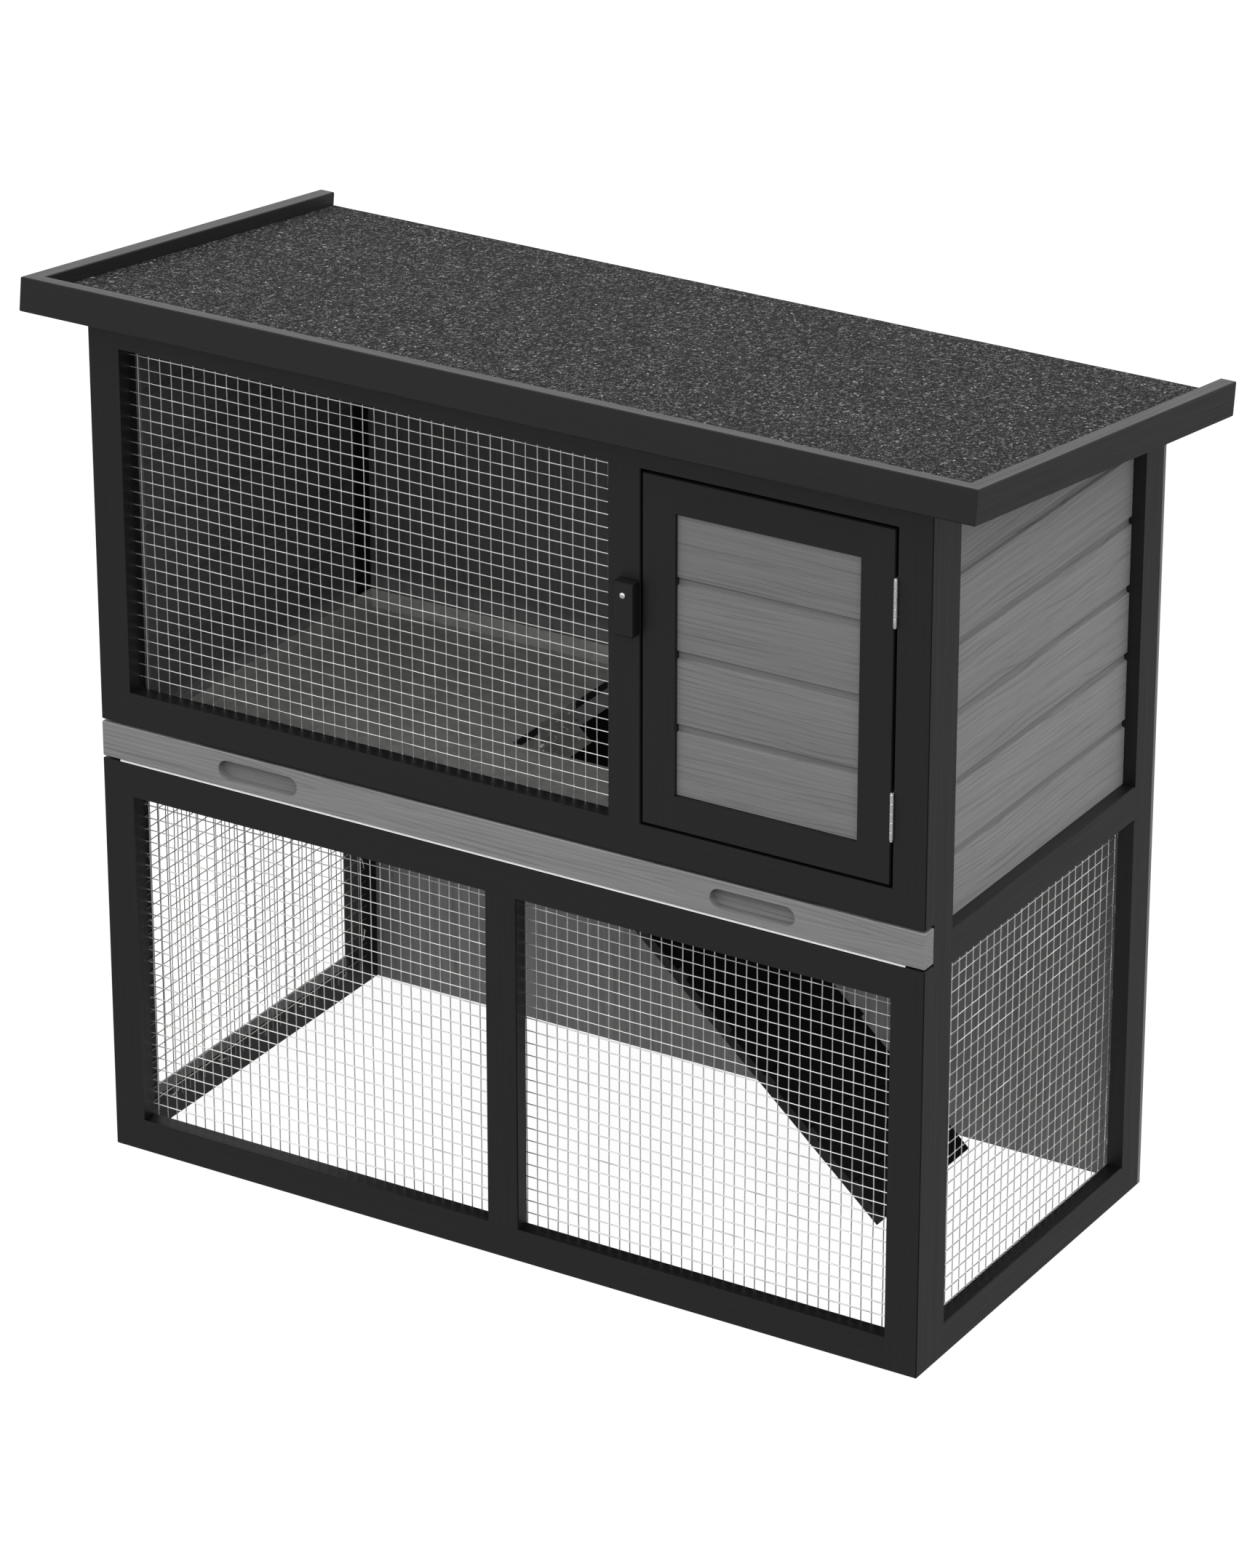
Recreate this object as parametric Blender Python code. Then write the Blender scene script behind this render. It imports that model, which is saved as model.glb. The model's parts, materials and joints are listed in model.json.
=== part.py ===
"""Two-storey rabbit hutch with a lift-up felted roof, a hinged door, a slide-out tray and a ramp.

Metres, +Z up. The origin is on the floor, under the middle of the whole hutch.
+X runs along the front, to the right; the front looks along -Y.
"""
import math

import bmesh
import bpy
from mathutils import Matrix, Vector

# Driving dimensions
BODY_WIDTH = 0.813
BODY_DEPTH = 0.406
STOCK_WIDTH = 0.031
STOCK_THICK = 0.015
BACK_PANEL_THICK = 0.0055
LOWER_HEIGHT = 0.3775
UPPER_BOTTOM = 0.4143
HEAD_RAIL_BOTTOM = 0.7614
GAP = 0.0003
EDGE = 0.0008

# Roof: a deck between raised rails, sloping down to the back
ROOF_SLOPE = math.radians(7.563)
ROOF_WIDTH = 0.9146
ROOF_LENGTH = 0.4559
ROOF_TOP = 0.8178
ROOF_OVERHANG = 0.0224
ROOF_RAIL_HEIGHT = 0.030
ROOF_RAIL_THICK = 0.015
FELT_DROP = 0.0119
FELT_THICK = 0.0017
DECK_THICK = 0.008
HEADROOM = 0.0005

# Side walls
MIDDLE_RAIL = (0.3661, 0.3978)
CLADDING_RECESS = 0.012
CLADDING_THICK = 0.008
CLADDING_FIRST_GROOVE = 0.4543
CLADDING_PITCH = 0.0621
SIDE_GROOVES = 5

# Front mesh bay, door bay and door
CENTRE_STILE_X = 0.1064
DOOR_GAP_LATCH = 0.0017
DOOR_GAP_HINGE = 0.0028
DOOR_GAP_TOP = 0.0027
DOOR_GAP_BOTTOM = 0.0022
DOOR_PANEL_RECESS = 0.0035
DOOR_PANEL_THICK = 0.008
DOOR_FIRST_GROOVE = 0.5385
DOOR_PITCH = 0.065
DOOR_GROOVES = 3
GROOVE_HEIGHT = 0.008
GROOVE_DEPTH = 0.0028
GROOVE_SLANT = 0.0012

# Wire mesh panels, each one open lattice that weighs what the fine mesh weighs
MESH_PITCH = 0.078
MESH_WIRE = 0.0022
MESH_LAP = 0.0115
MESH_CENTRE_LAP = 0.0095

# Hinges: rolled knuckles on 0.8 mm leaves, each barrel as (outer, bore, pin) radii
LEAF_THICK = 0.0008
DOOR_BARREL = (0.0016, 0.0011, 0.0008)
LARGE_BARREL = (0.0025, 0.0015, 0.0012)
KNUCKLE_GAP = 0.0004
HINGE_SIDES = 12
AXIS_STANDOFF = 0.0029
DOOR_AXIS_STANDOFF = 0.0022
DOOR_AXIS_SHIFT = 0.0004
DOOR_HINGE_LENGTH = 0.0415
DOOR_HINGE_HEIGHTS = {"lower": 0.5095, "upper": 0.6963}
ROOF_HINGE_LENGTH = 0.050
ROOF_HINGE_X = {"left": -0.270, "right": 0.270}
ROOF_AXIS_BEHIND = 0.0031
RAMP_HINGE_LENGTH = 0.060
DOOR_LEAF_WIDTH = 0.0155
ROOF_LEAF_WIDTH = 0.0155
BODY_LEAF_WIDTH = 0.024
RAMP_LEAF_WIDTH = 0.022
PIN_HEAD_RADIUS = 0.00145
PIN_HEAD_HEIGHT = 0.0008
PIN_HEAD_DOME = 0.0002

# Turn button
LATCH_LENGTH = 0.0474
LATCH_WIDTH = 0.0206
LATCH_THICK = 0.010
LATCH_END = 0.011
LATCH_EDGE = 0.0012
LATCH_PIVOT = (0.127, 0.6515)
SCREW_RADIUS = 0.0017
SCREW_HEAD_RADIUS = 0.0027
SCREW_HEAD_HEIGHT = 0.0017
SCREW_HEAD_RIM = 0.0008
SCREW_HEAD_DOME = 0.0003
SCREW_START = 0.0005

# Slide-out tray: a board across the front and a steel pan behind it
TRAY_BOARD = (0.3793, 0.412)
SLOT_X = 0.2445
SLOT_LENGTH = 0.081
SLOT_HEIGHT = 0.018
SLOT_DEPTH = 0.0085
PAN_WIDTH = 0.7768
PAN_SHEET = 0.0012
PAN_BOTTOM = 0.3778
PAN_RIM_TOP = 0.397
PAN_REAR_SPACE = 0.0045
HATCH_X = (-0.118, 0.090)
HATCH_Y = (0.206, 0.378)
RUNNER_WIDTH = 0.015
RUNNER_BOTTOM = 0.3624

# Divider between the mesh bay and the sleeping bay
DIVIDER_X = (0.118, 0.126)
DIVIDER_BOTTOM = 0.400
DOORWAY_Y = (0.045, 0.185)
DOORWAY_SPRING = 0.530
NOTCH_SPACE = 0.003

# Ramp, from the hatch down to the floor
RAMP_ANGLE = math.radians(42.15)
RAMP_AXIS = (-0.1235, 0.3521)
RAMP_Y = (0.2165, 0.3725)
RAMP_THICK = 0.009
CLEAT_HEIGHT = 0.005
CLEAT_WIDTH = 0.012
CLEAT_PITCH = 0.060
CLEAT_SLANT = 0.001
FIRST_CLEAT = 0.049
RAMP_START = 0.004

# Worked out from the driving dimensions
SIN = math.sin(ROOF_SLOPE)
COS = math.cos(ROOF_SLOPE)
TAN = math.tan(ROOF_SLOPE)
ROOF_FRONT = -(ROOF_LENGTH * COS + ROOF_RAIL_HEIGHT * SIN) / 2 + ROOF_RAIL_HEIGHT * SIN
FRONT = ROOF_FRONT + ROOF_OVERHANG
BACK = FRONT + BODY_DEPTH
PANEL_FRONT = BACK - BACK_PANEL_THICK
FRAME_BACK = FRONT + STOCK_THICK
SIDE = BODY_WIDTH / 2
SIDE_INNER = SIDE - STOCK_THICK
STILE_INNER = SIDE - STOCK_WIDTH
DECK_BOTTOM_DROP = FELT_DROP + FELT_THICK + GAP + DECK_THICK
CENTRE_STILE = (CENTRE_STILE_X, CENTRE_STILE_X + STOCK_WIDTH)
SIDE_FRONT_STILE = (FRAME_BACK + GAP, FRAME_BACK + STOCK_WIDTH)
SIDE_REAR_STILE = (PANEL_FRONT - STOCK_WIDTH, PANEL_FRONT - GAP)
UPPER_RAIL_TOP = UPPER_BOTTOM + STOCK_WIDTH
DOOR_X = (CENTRE_STILE[1] + DOOR_GAP_LATCH, STILE_INNER - DOOR_GAP_HINGE)
DOOR_Z = (UPPER_RAIL_TOP + DOOR_GAP_BOTTOM, HEAD_RAIL_BOTTOM - DOOR_GAP_TOP)
DOOR_AXIS = (STILE_INNER - DOOR_GAP_HINGE / 2 + DOOR_AXIS_SHIFT, FRONT - DOOR_AXIS_STANDOFF)
MESH_BACK = FRAME_BACK + GAP + MESH_WIRE

# Limits of a piece, as (axis, lower or upper), whose edges stay square because a neighbour meets them
X_ENDS = ((0, 0), (0, 1))
Y_ENDS = ((1, 0), (1, 1))
Z_ENDS = ((2, 0), (2, 1))


def roof_underside(y):
    """Height of the deck's underside above a point at depth y."""
    return ROOF_TOP - TAN * (y - ROOF_FRONT) - DECK_BOTTOM_DROP / COS


ROOF_AXIS_Y = BACK + ROOF_AXIS_BEHIND
ROOF_AXIS_Z = roof_underside(ROOF_AXIS_Y) - AXIS_STANDOFF / COS


def make_material(name, color, roughness, metallic=0.0):
    material = bpy.data.materials.new(name)
    material.use_nodes = True
    shader = material.node_tree.nodes["Principled BSDF"]
    shader.inputs["Base Color"].default_value = (*color, 1.0)
    shader.inputs["Roughness"].default_value = roughness
    shader.inputs["Metallic"].default_value = metallic
    return material


def add_object(name, bm, material, parent=None):
    """Turn a bmesh into a named object; with a parent, the mesh is in the parent's frame."""
    bmesh.ops.recalc_face_normals(bm, faces=bm.faces)
    mesh = bpy.data.meshes.new(name)
    bm.to_mesh(mesh)
    bm.free()
    if material is not None:
        mesh.materials.append(material)
    obj = bpy.data.objects.new(name, mesh)
    bpy.context.collection.objects.link(obj)
    obj.parent = parent
    return obj


def add_empty(name, location, rotation=(0.0, 0.0, 0.0)):
    empty = bpy.data.objects.new(name, None)
    empty.location = location
    empty.rotation_euler = rotation
    bpy.context.collection.objects.link(empty)
    return empty


def soften(bm, width=EDGE, joined=(), mitres=()):
    """Take the sharpness off a sawn piece's edges, but not round its joined sides.

    A mitre is a pair of points in plan; the edges between and above them stay square.
    """
    limits = []
    for axis, upper in joined:
        places = [vert.co[axis] for vert in bm.verts]
        limits.append((axis, max(places) if upper else min(places)))
    edges = []
    for edge in bm.edges:
        square = any(all(abs(vert.co[axis] - limit) < GAP for vert in edge.verts) for axis, limit in limits)
        for mitre in mitres:
            away = [min(math.dist(vert.co.xy, point) for point in mitre) for vert in edge.verts]
            square = square or max(away) < GAP
        if not square:
            edges.append(edge)
    bmesh.ops.bevel(bm, geom=edges, offset=width, segments=1, affect="EDGES")


def box_mesh(x, y, z):
    bm = bmesh.new()
    bmesh.ops.create_cube(bm, size=1.0)
    size = Vector((x[1] - x[0], y[1] - y[0], z[1] - z[0]))
    middle = Vector((x[0] + x[1], y[0] + y[1], z[0] + z[1])) / 2
    for vert in bm.verts:
        vert.co = Vector(a * b for a, b in zip(vert.co, size)) + middle
    return bm


def prism_mesh(outline, axis, span):
    """Extrude an outline, given in the two other axes in X, Y, Z order, along one axis."""
    bm = bmesh.new()
    others = [i for i in range(3) if i != axis]
    verts = []
    for point in outline:
        co = [0.0, 0.0, 0.0]
        co[others[0]], co[others[1]] = point
        co[axis] = span[0]
        verts.append(bm.verts.new(co))
    face = bm.faces.new(verts)
    extruded = bmesh.ops.extrude_face_region(bm, geom=[face])
    moved = [item for item in extruded["geom"] if isinstance(item, bmesh.types.BMVert)]
    step = [0.0, 0.0, 0.0]
    step[axis] = span[1] - span[0]
    bmesh.ops.translate(bm, verts=moved, vec=step)
    return bm


def trim_to_roof(bm, drop=0.0):
    """Cut a piece along the roof's slope, just under the deck or a given drop below it."""
    height = roof_underside(0.0) - HEADROOM - drop
    cut = bmesh.ops.bisect_plane(
        bm, geom=bm.verts[:] + bm.edges[:] + bm.faces[:], dist=1e-6,
        plane_co=(0, 0, height), plane_no=(0, SIN, COS), clear_outer=True)
    edges = [item for item in cut["geom_cut"] if isinstance(item, bmesh.types.BMEdge)]
    bmesh.ops.contextual_create(bm, geom=edges)


def bar(name, x, y, z, material, parent=None, under_roof=False, joined=()):
    """A sawn bar or board between three pairs of limits."""
    bm = box_mesh(x, y, z)
    if under_roof:
        trim_to_roof(bm)
    soften(bm, joined=joined)
    return add_object(name, bm, material, parent)


def take_in(bm, piece):
    """Move a second bmesh's geometry into the first."""
    scratch = bpy.data.meshes.new("scratch")
    piece.to_mesh(scratch)
    piece.free()
    bm.from_mesh(scratch)
    bpy.data.meshes.remove(scratch)


def circle_points(centre, radius, sides, start=0.0, turn=math.tau):
    closed = abs(turn - math.tau) < 1e-6
    steps = sides if closed else sides + 1
    return [(centre[0] + radius * math.cos(start + turn * i / sides),
             centre[1] + radius * math.sin(start + turn * i / sides)) for i in range(steps)]


def lathe_mesh(profile, sides):
    """Turn a profile of (radius, height) points, which starts and ends on the axis, about Z."""
    bm = bmesh.new()
    rings = []
    for radius, height in profile:
        if radius == 0.0:
            rings.append([bm.verts.new((0, 0, height))])
            continue
        rings.append([bm.verts.new((x, y, height)) for x, y in circle_points((0, 0), radius, sides)])
    for low, high in zip(rings, rings[1:]):
        for i in range(sides):
            j = (i + 1) % sides
            corners = [low[i % len(low)], low[j % len(low)], high[j % len(high)], high[i % len(high)]]
            bm.faces.new(list(dict.fromkeys(corners)))
    return bm


def hide_tool(obj):
    """Mark a boolean operand, which isn't a piece of the hutch."""
    obj.hide_render = True
    obj.display_type = "WIRE"


def combine(target, operand, operation):
    hide_tool(operand)
    modifier = target.modifiers.new(operand.name, "BOOLEAN")
    modifier.operation = operation
    modifier.solver = "EXACT"
    modifier.object = operand


def add_frame_front(stain):
    """The lower front frame with two bays, and the upper one with a mesh bay and a door bay."""
    depth = (FRONT, FRAME_BACK)
    half = STOCK_WIDTH / 2
    inner = (-STILE_INNER + GAP, STILE_INNER - GAP)
    between = (STOCK_WIDTH + GAP, LOWER_HEIGHT - STOCK_WIDTH - GAP)
    behind = ((1, 1),)
    for side, x in (("left", (-SIDE, -STILE_INNER)), ("right", (STILE_INNER, SIDE))):
        joined = behind + ((0, int(side == "left")),)
        bar("lower_front_stile_" + side, x, depth, (0.0, LOWER_HEIGHT), stain, joined=joined)
        bar("upper_front_stile_" + side, x, depth, (UPPER_BOTTOM, ROOF_TOP), stain,
            under_roof=True, joined=joined)
    low = X_ENDS + ((2, 1),)
    high = X_ENDS + ((2, 0),)
    bar("lower_front_bottom_rail", inner, depth, (0.0, STOCK_WIDTH), stain, joined=low)
    bar("lower_front_top_rail", inner, depth, (LOWER_HEIGHT - STOCK_WIDTH, LOWER_HEIGHT), stain,
        joined=high)
    bar("lower_front_centre_stile", (-half, half), depth, between, stain, joined=Z_ENDS)
    bar("upper_front_bottom_rail", inner, depth, (UPPER_BOTTOM, UPPER_RAIL_TOP), stain, joined=low)
    bar("upper_front_top_rail", inner, depth, (HEAD_RAIL_BOTTOM, ROOF_TOP), stain,
        under_roof=True, joined=high)
    bar("upper_front_centre_stile", CENTRE_STILE, depth,
        (UPPER_RAIL_TOP + GAP, HEAD_RAIL_BOTTOM - GAP), stain, joined=Z_ENDS)


def add_side_top_rail(name, x, y, stain):
    """The sloping rail that closes a side frame under the deck."""
    outline = []
    for depth, drop in ((y[0], 0.0), (y[1], 0.0), (y[1], STOCK_WIDTH), (y[0], STOCK_WIDTH)):
        outline.append((depth, roof_underside(depth) - HEADROOM / COS - drop))
    bm = prism_mesh(outline, 0, x)
    soften(bm, joined=Y_ENDS)
    add_object(name, bm, stain)


def grooved_outline(face, back, low, high, first, pitch, count):
    """Section of a boarded panel: a flat back, and a face with a channel between boards."""
    half = GROOVE_HEIGHT / 2
    toward_back = GROOVE_DEPTH if back > face else -GROOVE_DEPTH
    outline = [(back, high), (back, low), (face, low)]
    for i in range(count):
        middle = first + i * pitch
        outline.append((face, middle - half))
        outline.append((face + toward_back, middle - half + GROOVE_SLANT))
        outline.append((face + toward_back, middle + half - GROOVE_SLANT))
        outline.append((face, middle + half))
    outline.append((face, high))
    return outline


def add_side(side, sign, stain, boards):
    """One side wall: a frame of five bars and the boarding in its upper opening."""
    x = tuple(sorted((sign * SIDE_INNER, sign * SIDE)))
    between = (SIDE_FRONT_STILE[1] + GAP, SIDE_REAR_STILE[0] - GAP)
    tall = (0.0, ROOF_TOP)
    bar("side_front_stile_" + side, x, SIDE_FRONT_STILE, tall, stain, under_roof=True, joined=Y_ENDS)
    bar("side_rear_stile_" + side, x, SIDE_REAR_STILE, tall, stain, under_roof=True, joined=Y_ENDS)
    bar("side_bottom_rail_" + side, x, between, (0.0, STOCK_WIDTH), stain, joined=Y_ENDS)
    bar("side_middle_rail_" + side, x, between, MIDDLE_RAIL, stain, joined=Y_ENDS)
    add_side_top_rail("side_top_rail_" + side, x, between, stain)
    face = sign * (SIDE - CLADDING_RECESS)
    outline = grooved_outline(face, face - sign * CLADDING_THICK, MIDDLE_RAIL[1] + GAP, ROOF_TOP,
                              CLADDING_FIRST_GROOVE, CLADDING_PITCH, SIDE_GROOVES)
    bm = prism_mesh(outline, 1, between)
    trim_to_roof(bm, STOCK_WIDTH + 2 * GAP)
    add_object("side_boarding_" + side, bm, boards)


def add_mesh_panel(name, width, height, axis, place, galvanised):
    """A flat lattice of crossing wires; axis is the direction it faces."""
    spans = []
    for length in (width[1] - width[0], height[1] - height[0]):
        cells = math.ceil(length / MESH_PITCH)
        step = (length - MESH_WIRE) / cells
        spans.append([value for i in range(cells + 1) for value in (i * step, i * step + MESH_WIRE)])
    bm = bmesh.new()
    along = 1 - axis
    grid = {}
    for i, across in enumerate(spans[0]):
        for j, up in enumerate(spans[1]):
            co = [0.0, 0.0, height[0] + up]
            co[axis] = place
            co[along] = width[0] + across
            grid[i, j] = bm.verts.new(co)
    for i in range(len(spans[0]) - 1):
        for j in range(len(spans[1]) - 1):
            if i % 2 == 0 or j % 2 == 0:
                bm.faces.new((grid[i, j], grid[i + 1, j], grid[i + 1, j + 1], grid[i, j + 1]))
    extruded = bmesh.ops.extrude_face_region(bm, geom=bm.faces[:])
    moved = [item for item in extruded["geom"] if isinstance(item, bmesh.types.BMVert)]
    step = [0.0, 0.0, 0.0]
    step[axis] = MESH_WIRE
    bmesh.ops.translate(bm, verts=moved, vec=step)
    add_object(name, bm, galvanised)


def add_meshes(galvanised):
    """Mesh is stapled behind each frame opening, lapping over the bars around it."""
    front = FRAME_BACK + GAP
    half = STOCK_WIDTH / 2
    low = (STOCK_WIDTH - MESH_LAP, LOWER_HEIGHT - STOCK_WIDTH + MESH_LAP)
    outer = STILE_INNER + MESH_LAP
    add_mesh_panel("lower_front_mesh_left", (-outer, -half + MESH_LAP), low, 1, front, galvanised)
    add_mesh_panel("lower_front_mesh_right", (half - MESH_LAP, outer), low, 1, front, galvanised)
    add_mesh_panel("upper_front_mesh", (-outer, CENTRE_STILE_X + MESH_CENTRE_LAP),
                   (UPPER_RAIL_TOP - MESH_LAP, HEAD_RAIL_BOTTOM + MESH_LAP), 1, front, galvanised)
    depth = (SIDE_FRONT_STILE[1] - MESH_LAP, SIDE_REAR_STILE[0] + MESH_LAP)
    up = (STOCK_WIDTH - MESH_LAP, MIDDLE_RAIL[0] + MESH_LAP)
    add_mesh_panel("side_mesh_left", depth, up, 0, -SIDE_INNER + GAP, galvanised)
    add_mesh_panel("side_mesh_right", depth, up, 0, SIDE_INNER - GAP - MESH_WIRE, galvanised)


def add_back(stain, boards):
    """The full-height back panel and the rail that stiffens its top edge."""
    bar("back_panel", (-SIDE, SIDE), (PANEL_FRONT, BACK), (0.0, ROOF_TOP), boards, under_roof=True)
    depth = (PANEL_FRONT - GAP - STOCK_THICK, PANEL_FRONT - GAP)
    bottom = roof_underside(depth[0]) - STOCK_WIDTH
    inner = SIDE_INNER - GAP
    bar("back_top_rail", (-inner, inner), depth, (bottom, ROOF_TOP), stain, under_roof=True)


def add_divider(boards):
    """The wall between mesh bay and sleeping bay, with an arched doorway near the front."""
    front = MESH_BACK + GAP
    rear = PANEL_FRONT - GAP
    notch = PANEL_FRONT - STOCK_THICK - 3 * GAP
    notch_bottom = roof_underside(notch) - STOCK_WIDTH - NOTCH_SPACE
    door = (FRONT + DOORWAY_Y[0], FRONT + DOORWAY_Y[1])
    radius = (door[1] - door[0]) / 2
    arch = circle_points((door[0] + radius, DOORWAY_SPRING), radius, 16, math.pi, -math.pi)
    outline = [(front, DIVIDER_BOTTOM), (door[0], DIVIDER_BOTTOM)] + arch
    outline += [(door[1], DIVIDER_BOTTOM), (rear, DIVIDER_BOTTOM), (rear, notch_bottom)]
    outline += [(notch, notch_bottom), (notch, roof_underside(notch) - HEADROOM / COS)]
    outline += [(front, roof_underside(front) - HEADROOM / COS)]
    add_object("sleeping_bay_divider", prism_mesh(outline, 0, DIVIDER_X), boards)


def add_roof(parent, stain, boards, felt):
    """Deck, felt and mitred rails, in the sloping frame of the roof's hinge axis.

    There, Y runs down the slope to the back and Z points away from the deck.
    """
    dy = ROOF_FRONT - ROOF_AXIS_Y
    dz = ROOF_TOP - ROOF_AXIS_Z
    front = dy * COS - dz * SIN
    top = dy * SIN + dz * COS
    rear = front + ROOF_LENGTH
    outer = ROOF_WIDTH / 2
    inner = outer - ROOF_RAIL_THICK
    behind = front + ROOF_RAIL_THICK
    rail = (top - ROOF_RAIL_HEIGHT, top)
    outline = [(-outer + GAP, front), (outer - GAP, front), (inner - GAP, behind), (-inner + GAP, behind)]
    bm = prism_mesh(outline, 2, rail)
    soften(bm, mitres=(outline[0::3], outline[1:3]))
    add_object("roof_front_rail", bm, stain, parent)
    for side, sign in (("left", -1), ("right", 1)):
        outline = [(sign * outer, front), (sign * outer, rear), (sign * inner, rear),
                   (sign * inner, behind)]
        bm = prism_mesh(outline, 2, rail)
        soften(bm, mitres=(outline[0::3],))
        add_object("roof_side_rail_" + side, bm, stain, parent)
    inside = (-inner + GAP, inner - GAP)
    run = (behind + GAP, rear)
    felt_top = top - FELT_DROP
    deck_top = felt_top - FELT_THICK - GAP
    bar("roof_deck", inside, run, (deck_top - DECK_THICK, deck_top), boards, parent)
    add_object("roof_felt", box_mesh(inside, run, (felt_top - FELT_THICK, felt_top)), felt, parent)


def knuckle_spans(length, count, owned):
    """Lengths of barrel that belong to one leaf; owned 0 takes the outer knuckles."""
    step = length / count
    spans = []
    for i in range(count):
        if i % 2 == owned:
            spans.append((-length / 2 + i * step + KNUCKLE_GAP / 2,
                          -length / 2 + (i + 1) * step - KNUCKLE_GAP / 2))
    return spans


def add_leaf(name, parent, steel, length, width, offset, barrel, knuckles, owned, pinned=False):
    """A hinge leaf. Its axis is X, and its plate lies along +Y at height offset.

    A pinned leaf has its pin fixed in its own knuckles; any other leaf is bored.
    """
    low = offset - LEAF_THICK / 2
    high = offset + LEAF_THICK / 2
    outer, bore, pin = barrel
    plate_start = outer + KNUCKLE_GAP
    leaf = add_object(name, box_mesh((-length / 2, length / 2), (plate_start, width), (low, high)),
                      steel, parent)
    outline = circle_points((0, 0), outer, HINGE_SIDES, math.radians(15))
    rolls = bmesh.new()
    tabs = bmesh.new()
    for span in knuckle_spans(length, knuckles, owned):
        take_in(rolls, prism_mesh(outline, 0, span))
        take_in(tabs, box_mesh(span, (0.0, plate_start + KNUCKLE_GAP), (low, high)))
    combine(leaf, add_object(name + "_barrel_tool", rolls, None, parent), "UNION")
    combine(leaf, add_object(name + "_tab_tool", tabs, None, parent), "UNION")
    if pinned:
        outline = circle_points((0, 0), pin, HINGE_SIDES)
        inside = length / 2 - KNUCKLE_GAP
        tool = add_object(name + "_pin_tool", prism_mesh(outline, 0, (-inside, inside)), None, parent)
        combine(leaf, tool, "UNION")
        return leaf
    outline = circle_points((0, 0), bore, HINGE_SIDES)
    tool = add_object(name + "_bore_tool", prism_mesh(outline, 0, (-length, length)), None, parent)
    combine(leaf, tool, "DIFFERENCE")
    return leaf


def frame_empty(name, location, x_axis, y_axis, parent=None):
    """An empty whose X and Y axes point along two given directions."""
    x_axis = Vector(x_axis)
    y_axis = Vector(y_axis)
    matrix = Matrix((x_axis, y_axis, x_axis.cross(y_axis))).transposed().to_4x4()
    matrix.translation = location
    empty = bpy.data.objects.new(name, None)
    bpy.context.collection.objects.link(empty)
    empty.parent = parent
    empty.matrix_local = matrix
    return empty


def add_door_hinges(door, steel):
    """Two butt hinges: leaves in the gap beside the door, knuckles proud of the face."""
    plate = DOOR_GAP_HINGE / 2 - GAP - LEAF_THICK / 2
    pin_radius = DOOR_BARREL[2]
    for place, height in DOOR_HINGE_HEIGHTS.items():
        fixed = frame_empty("hinge_frame_" + place, (*DOOR_AXIS, height), (0, 0, -1), (0, 1, 0))
        add_leaf("door_hinge_frame_leaf_" + place, fixed, steel, DOOR_HINGE_LENGTH,
                 DOOR_LEAF_WIDTH, plate - DOOR_AXIS_SHIFT, DOOR_BARREL, 5, 0)
        moving = frame_empty("hinge_door_" + place, (0, 0, height), (0, 0, 1), (0, 1, 0), door)
        add_leaf("door_hinge_door_leaf_" + place, moving, steel, DOOR_HINGE_LENGTH,
                 DOOR_LEAF_WIDTH, plate + DOOR_AXIS_SHIFT, DOOR_BARREL, 5, 1)
        seat = DOOR_HINGE_LENGTH / 2 + GAP
        head = PIN_HEAD_RADIUS
        crown = seat + PIN_HEAD_HEIGHT
        upper = [(pin_radius, seat), (head, seat), (head * 0.7, crown - PIN_HEAD_DOME), (0, crown)]
        profile = [(radius, -z) for radius, z in reversed(upper)] + upper
        pin = add_object("door_hinge_pin_" + place, lathe_mesh(profile, HINGE_SIDES), steel)
        pin.location = (*DOOR_AXIS, height)


def add_roof_hinges(roof, steel):
    """Two butt hinges behind the back panel, under the deck's rear overhang."""
    for side, x in ROOF_HINGE_X.items():
        body = frame_empty("hinge_body_" + side, (x, ROOF_AXIS_Y, ROOF_AXIS_Z), (-1, 0, 0), (0, 0, -1))
        offset = ROOF_AXIS_BEHIND - GAP - LEAF_THICK / 2
        add_leaf("roof_hinge_body_leaf_" + side, body, steel, ROOF_HINGE_LENGTH,
                 BODY_LEAF_WIDTH, offset, LARGE_BARREL, 3, 0, pinned=True)
        moving = frame_empty("hinge_roof_" + side, (x, 0, 0), (1, 0, 0), (0, 1, 0), roof)
        offset = AXIS_STANDOFF - GAP - LEAF_THICK / 2
        add_leaf("roof_hinge_roof_leaf_" + side, moving, steel, ROOF_HINGE_LENGTH,
                 ROOF_LEAF_WIDTH, offset, LARGE_BARREL, 3, 1)


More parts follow.
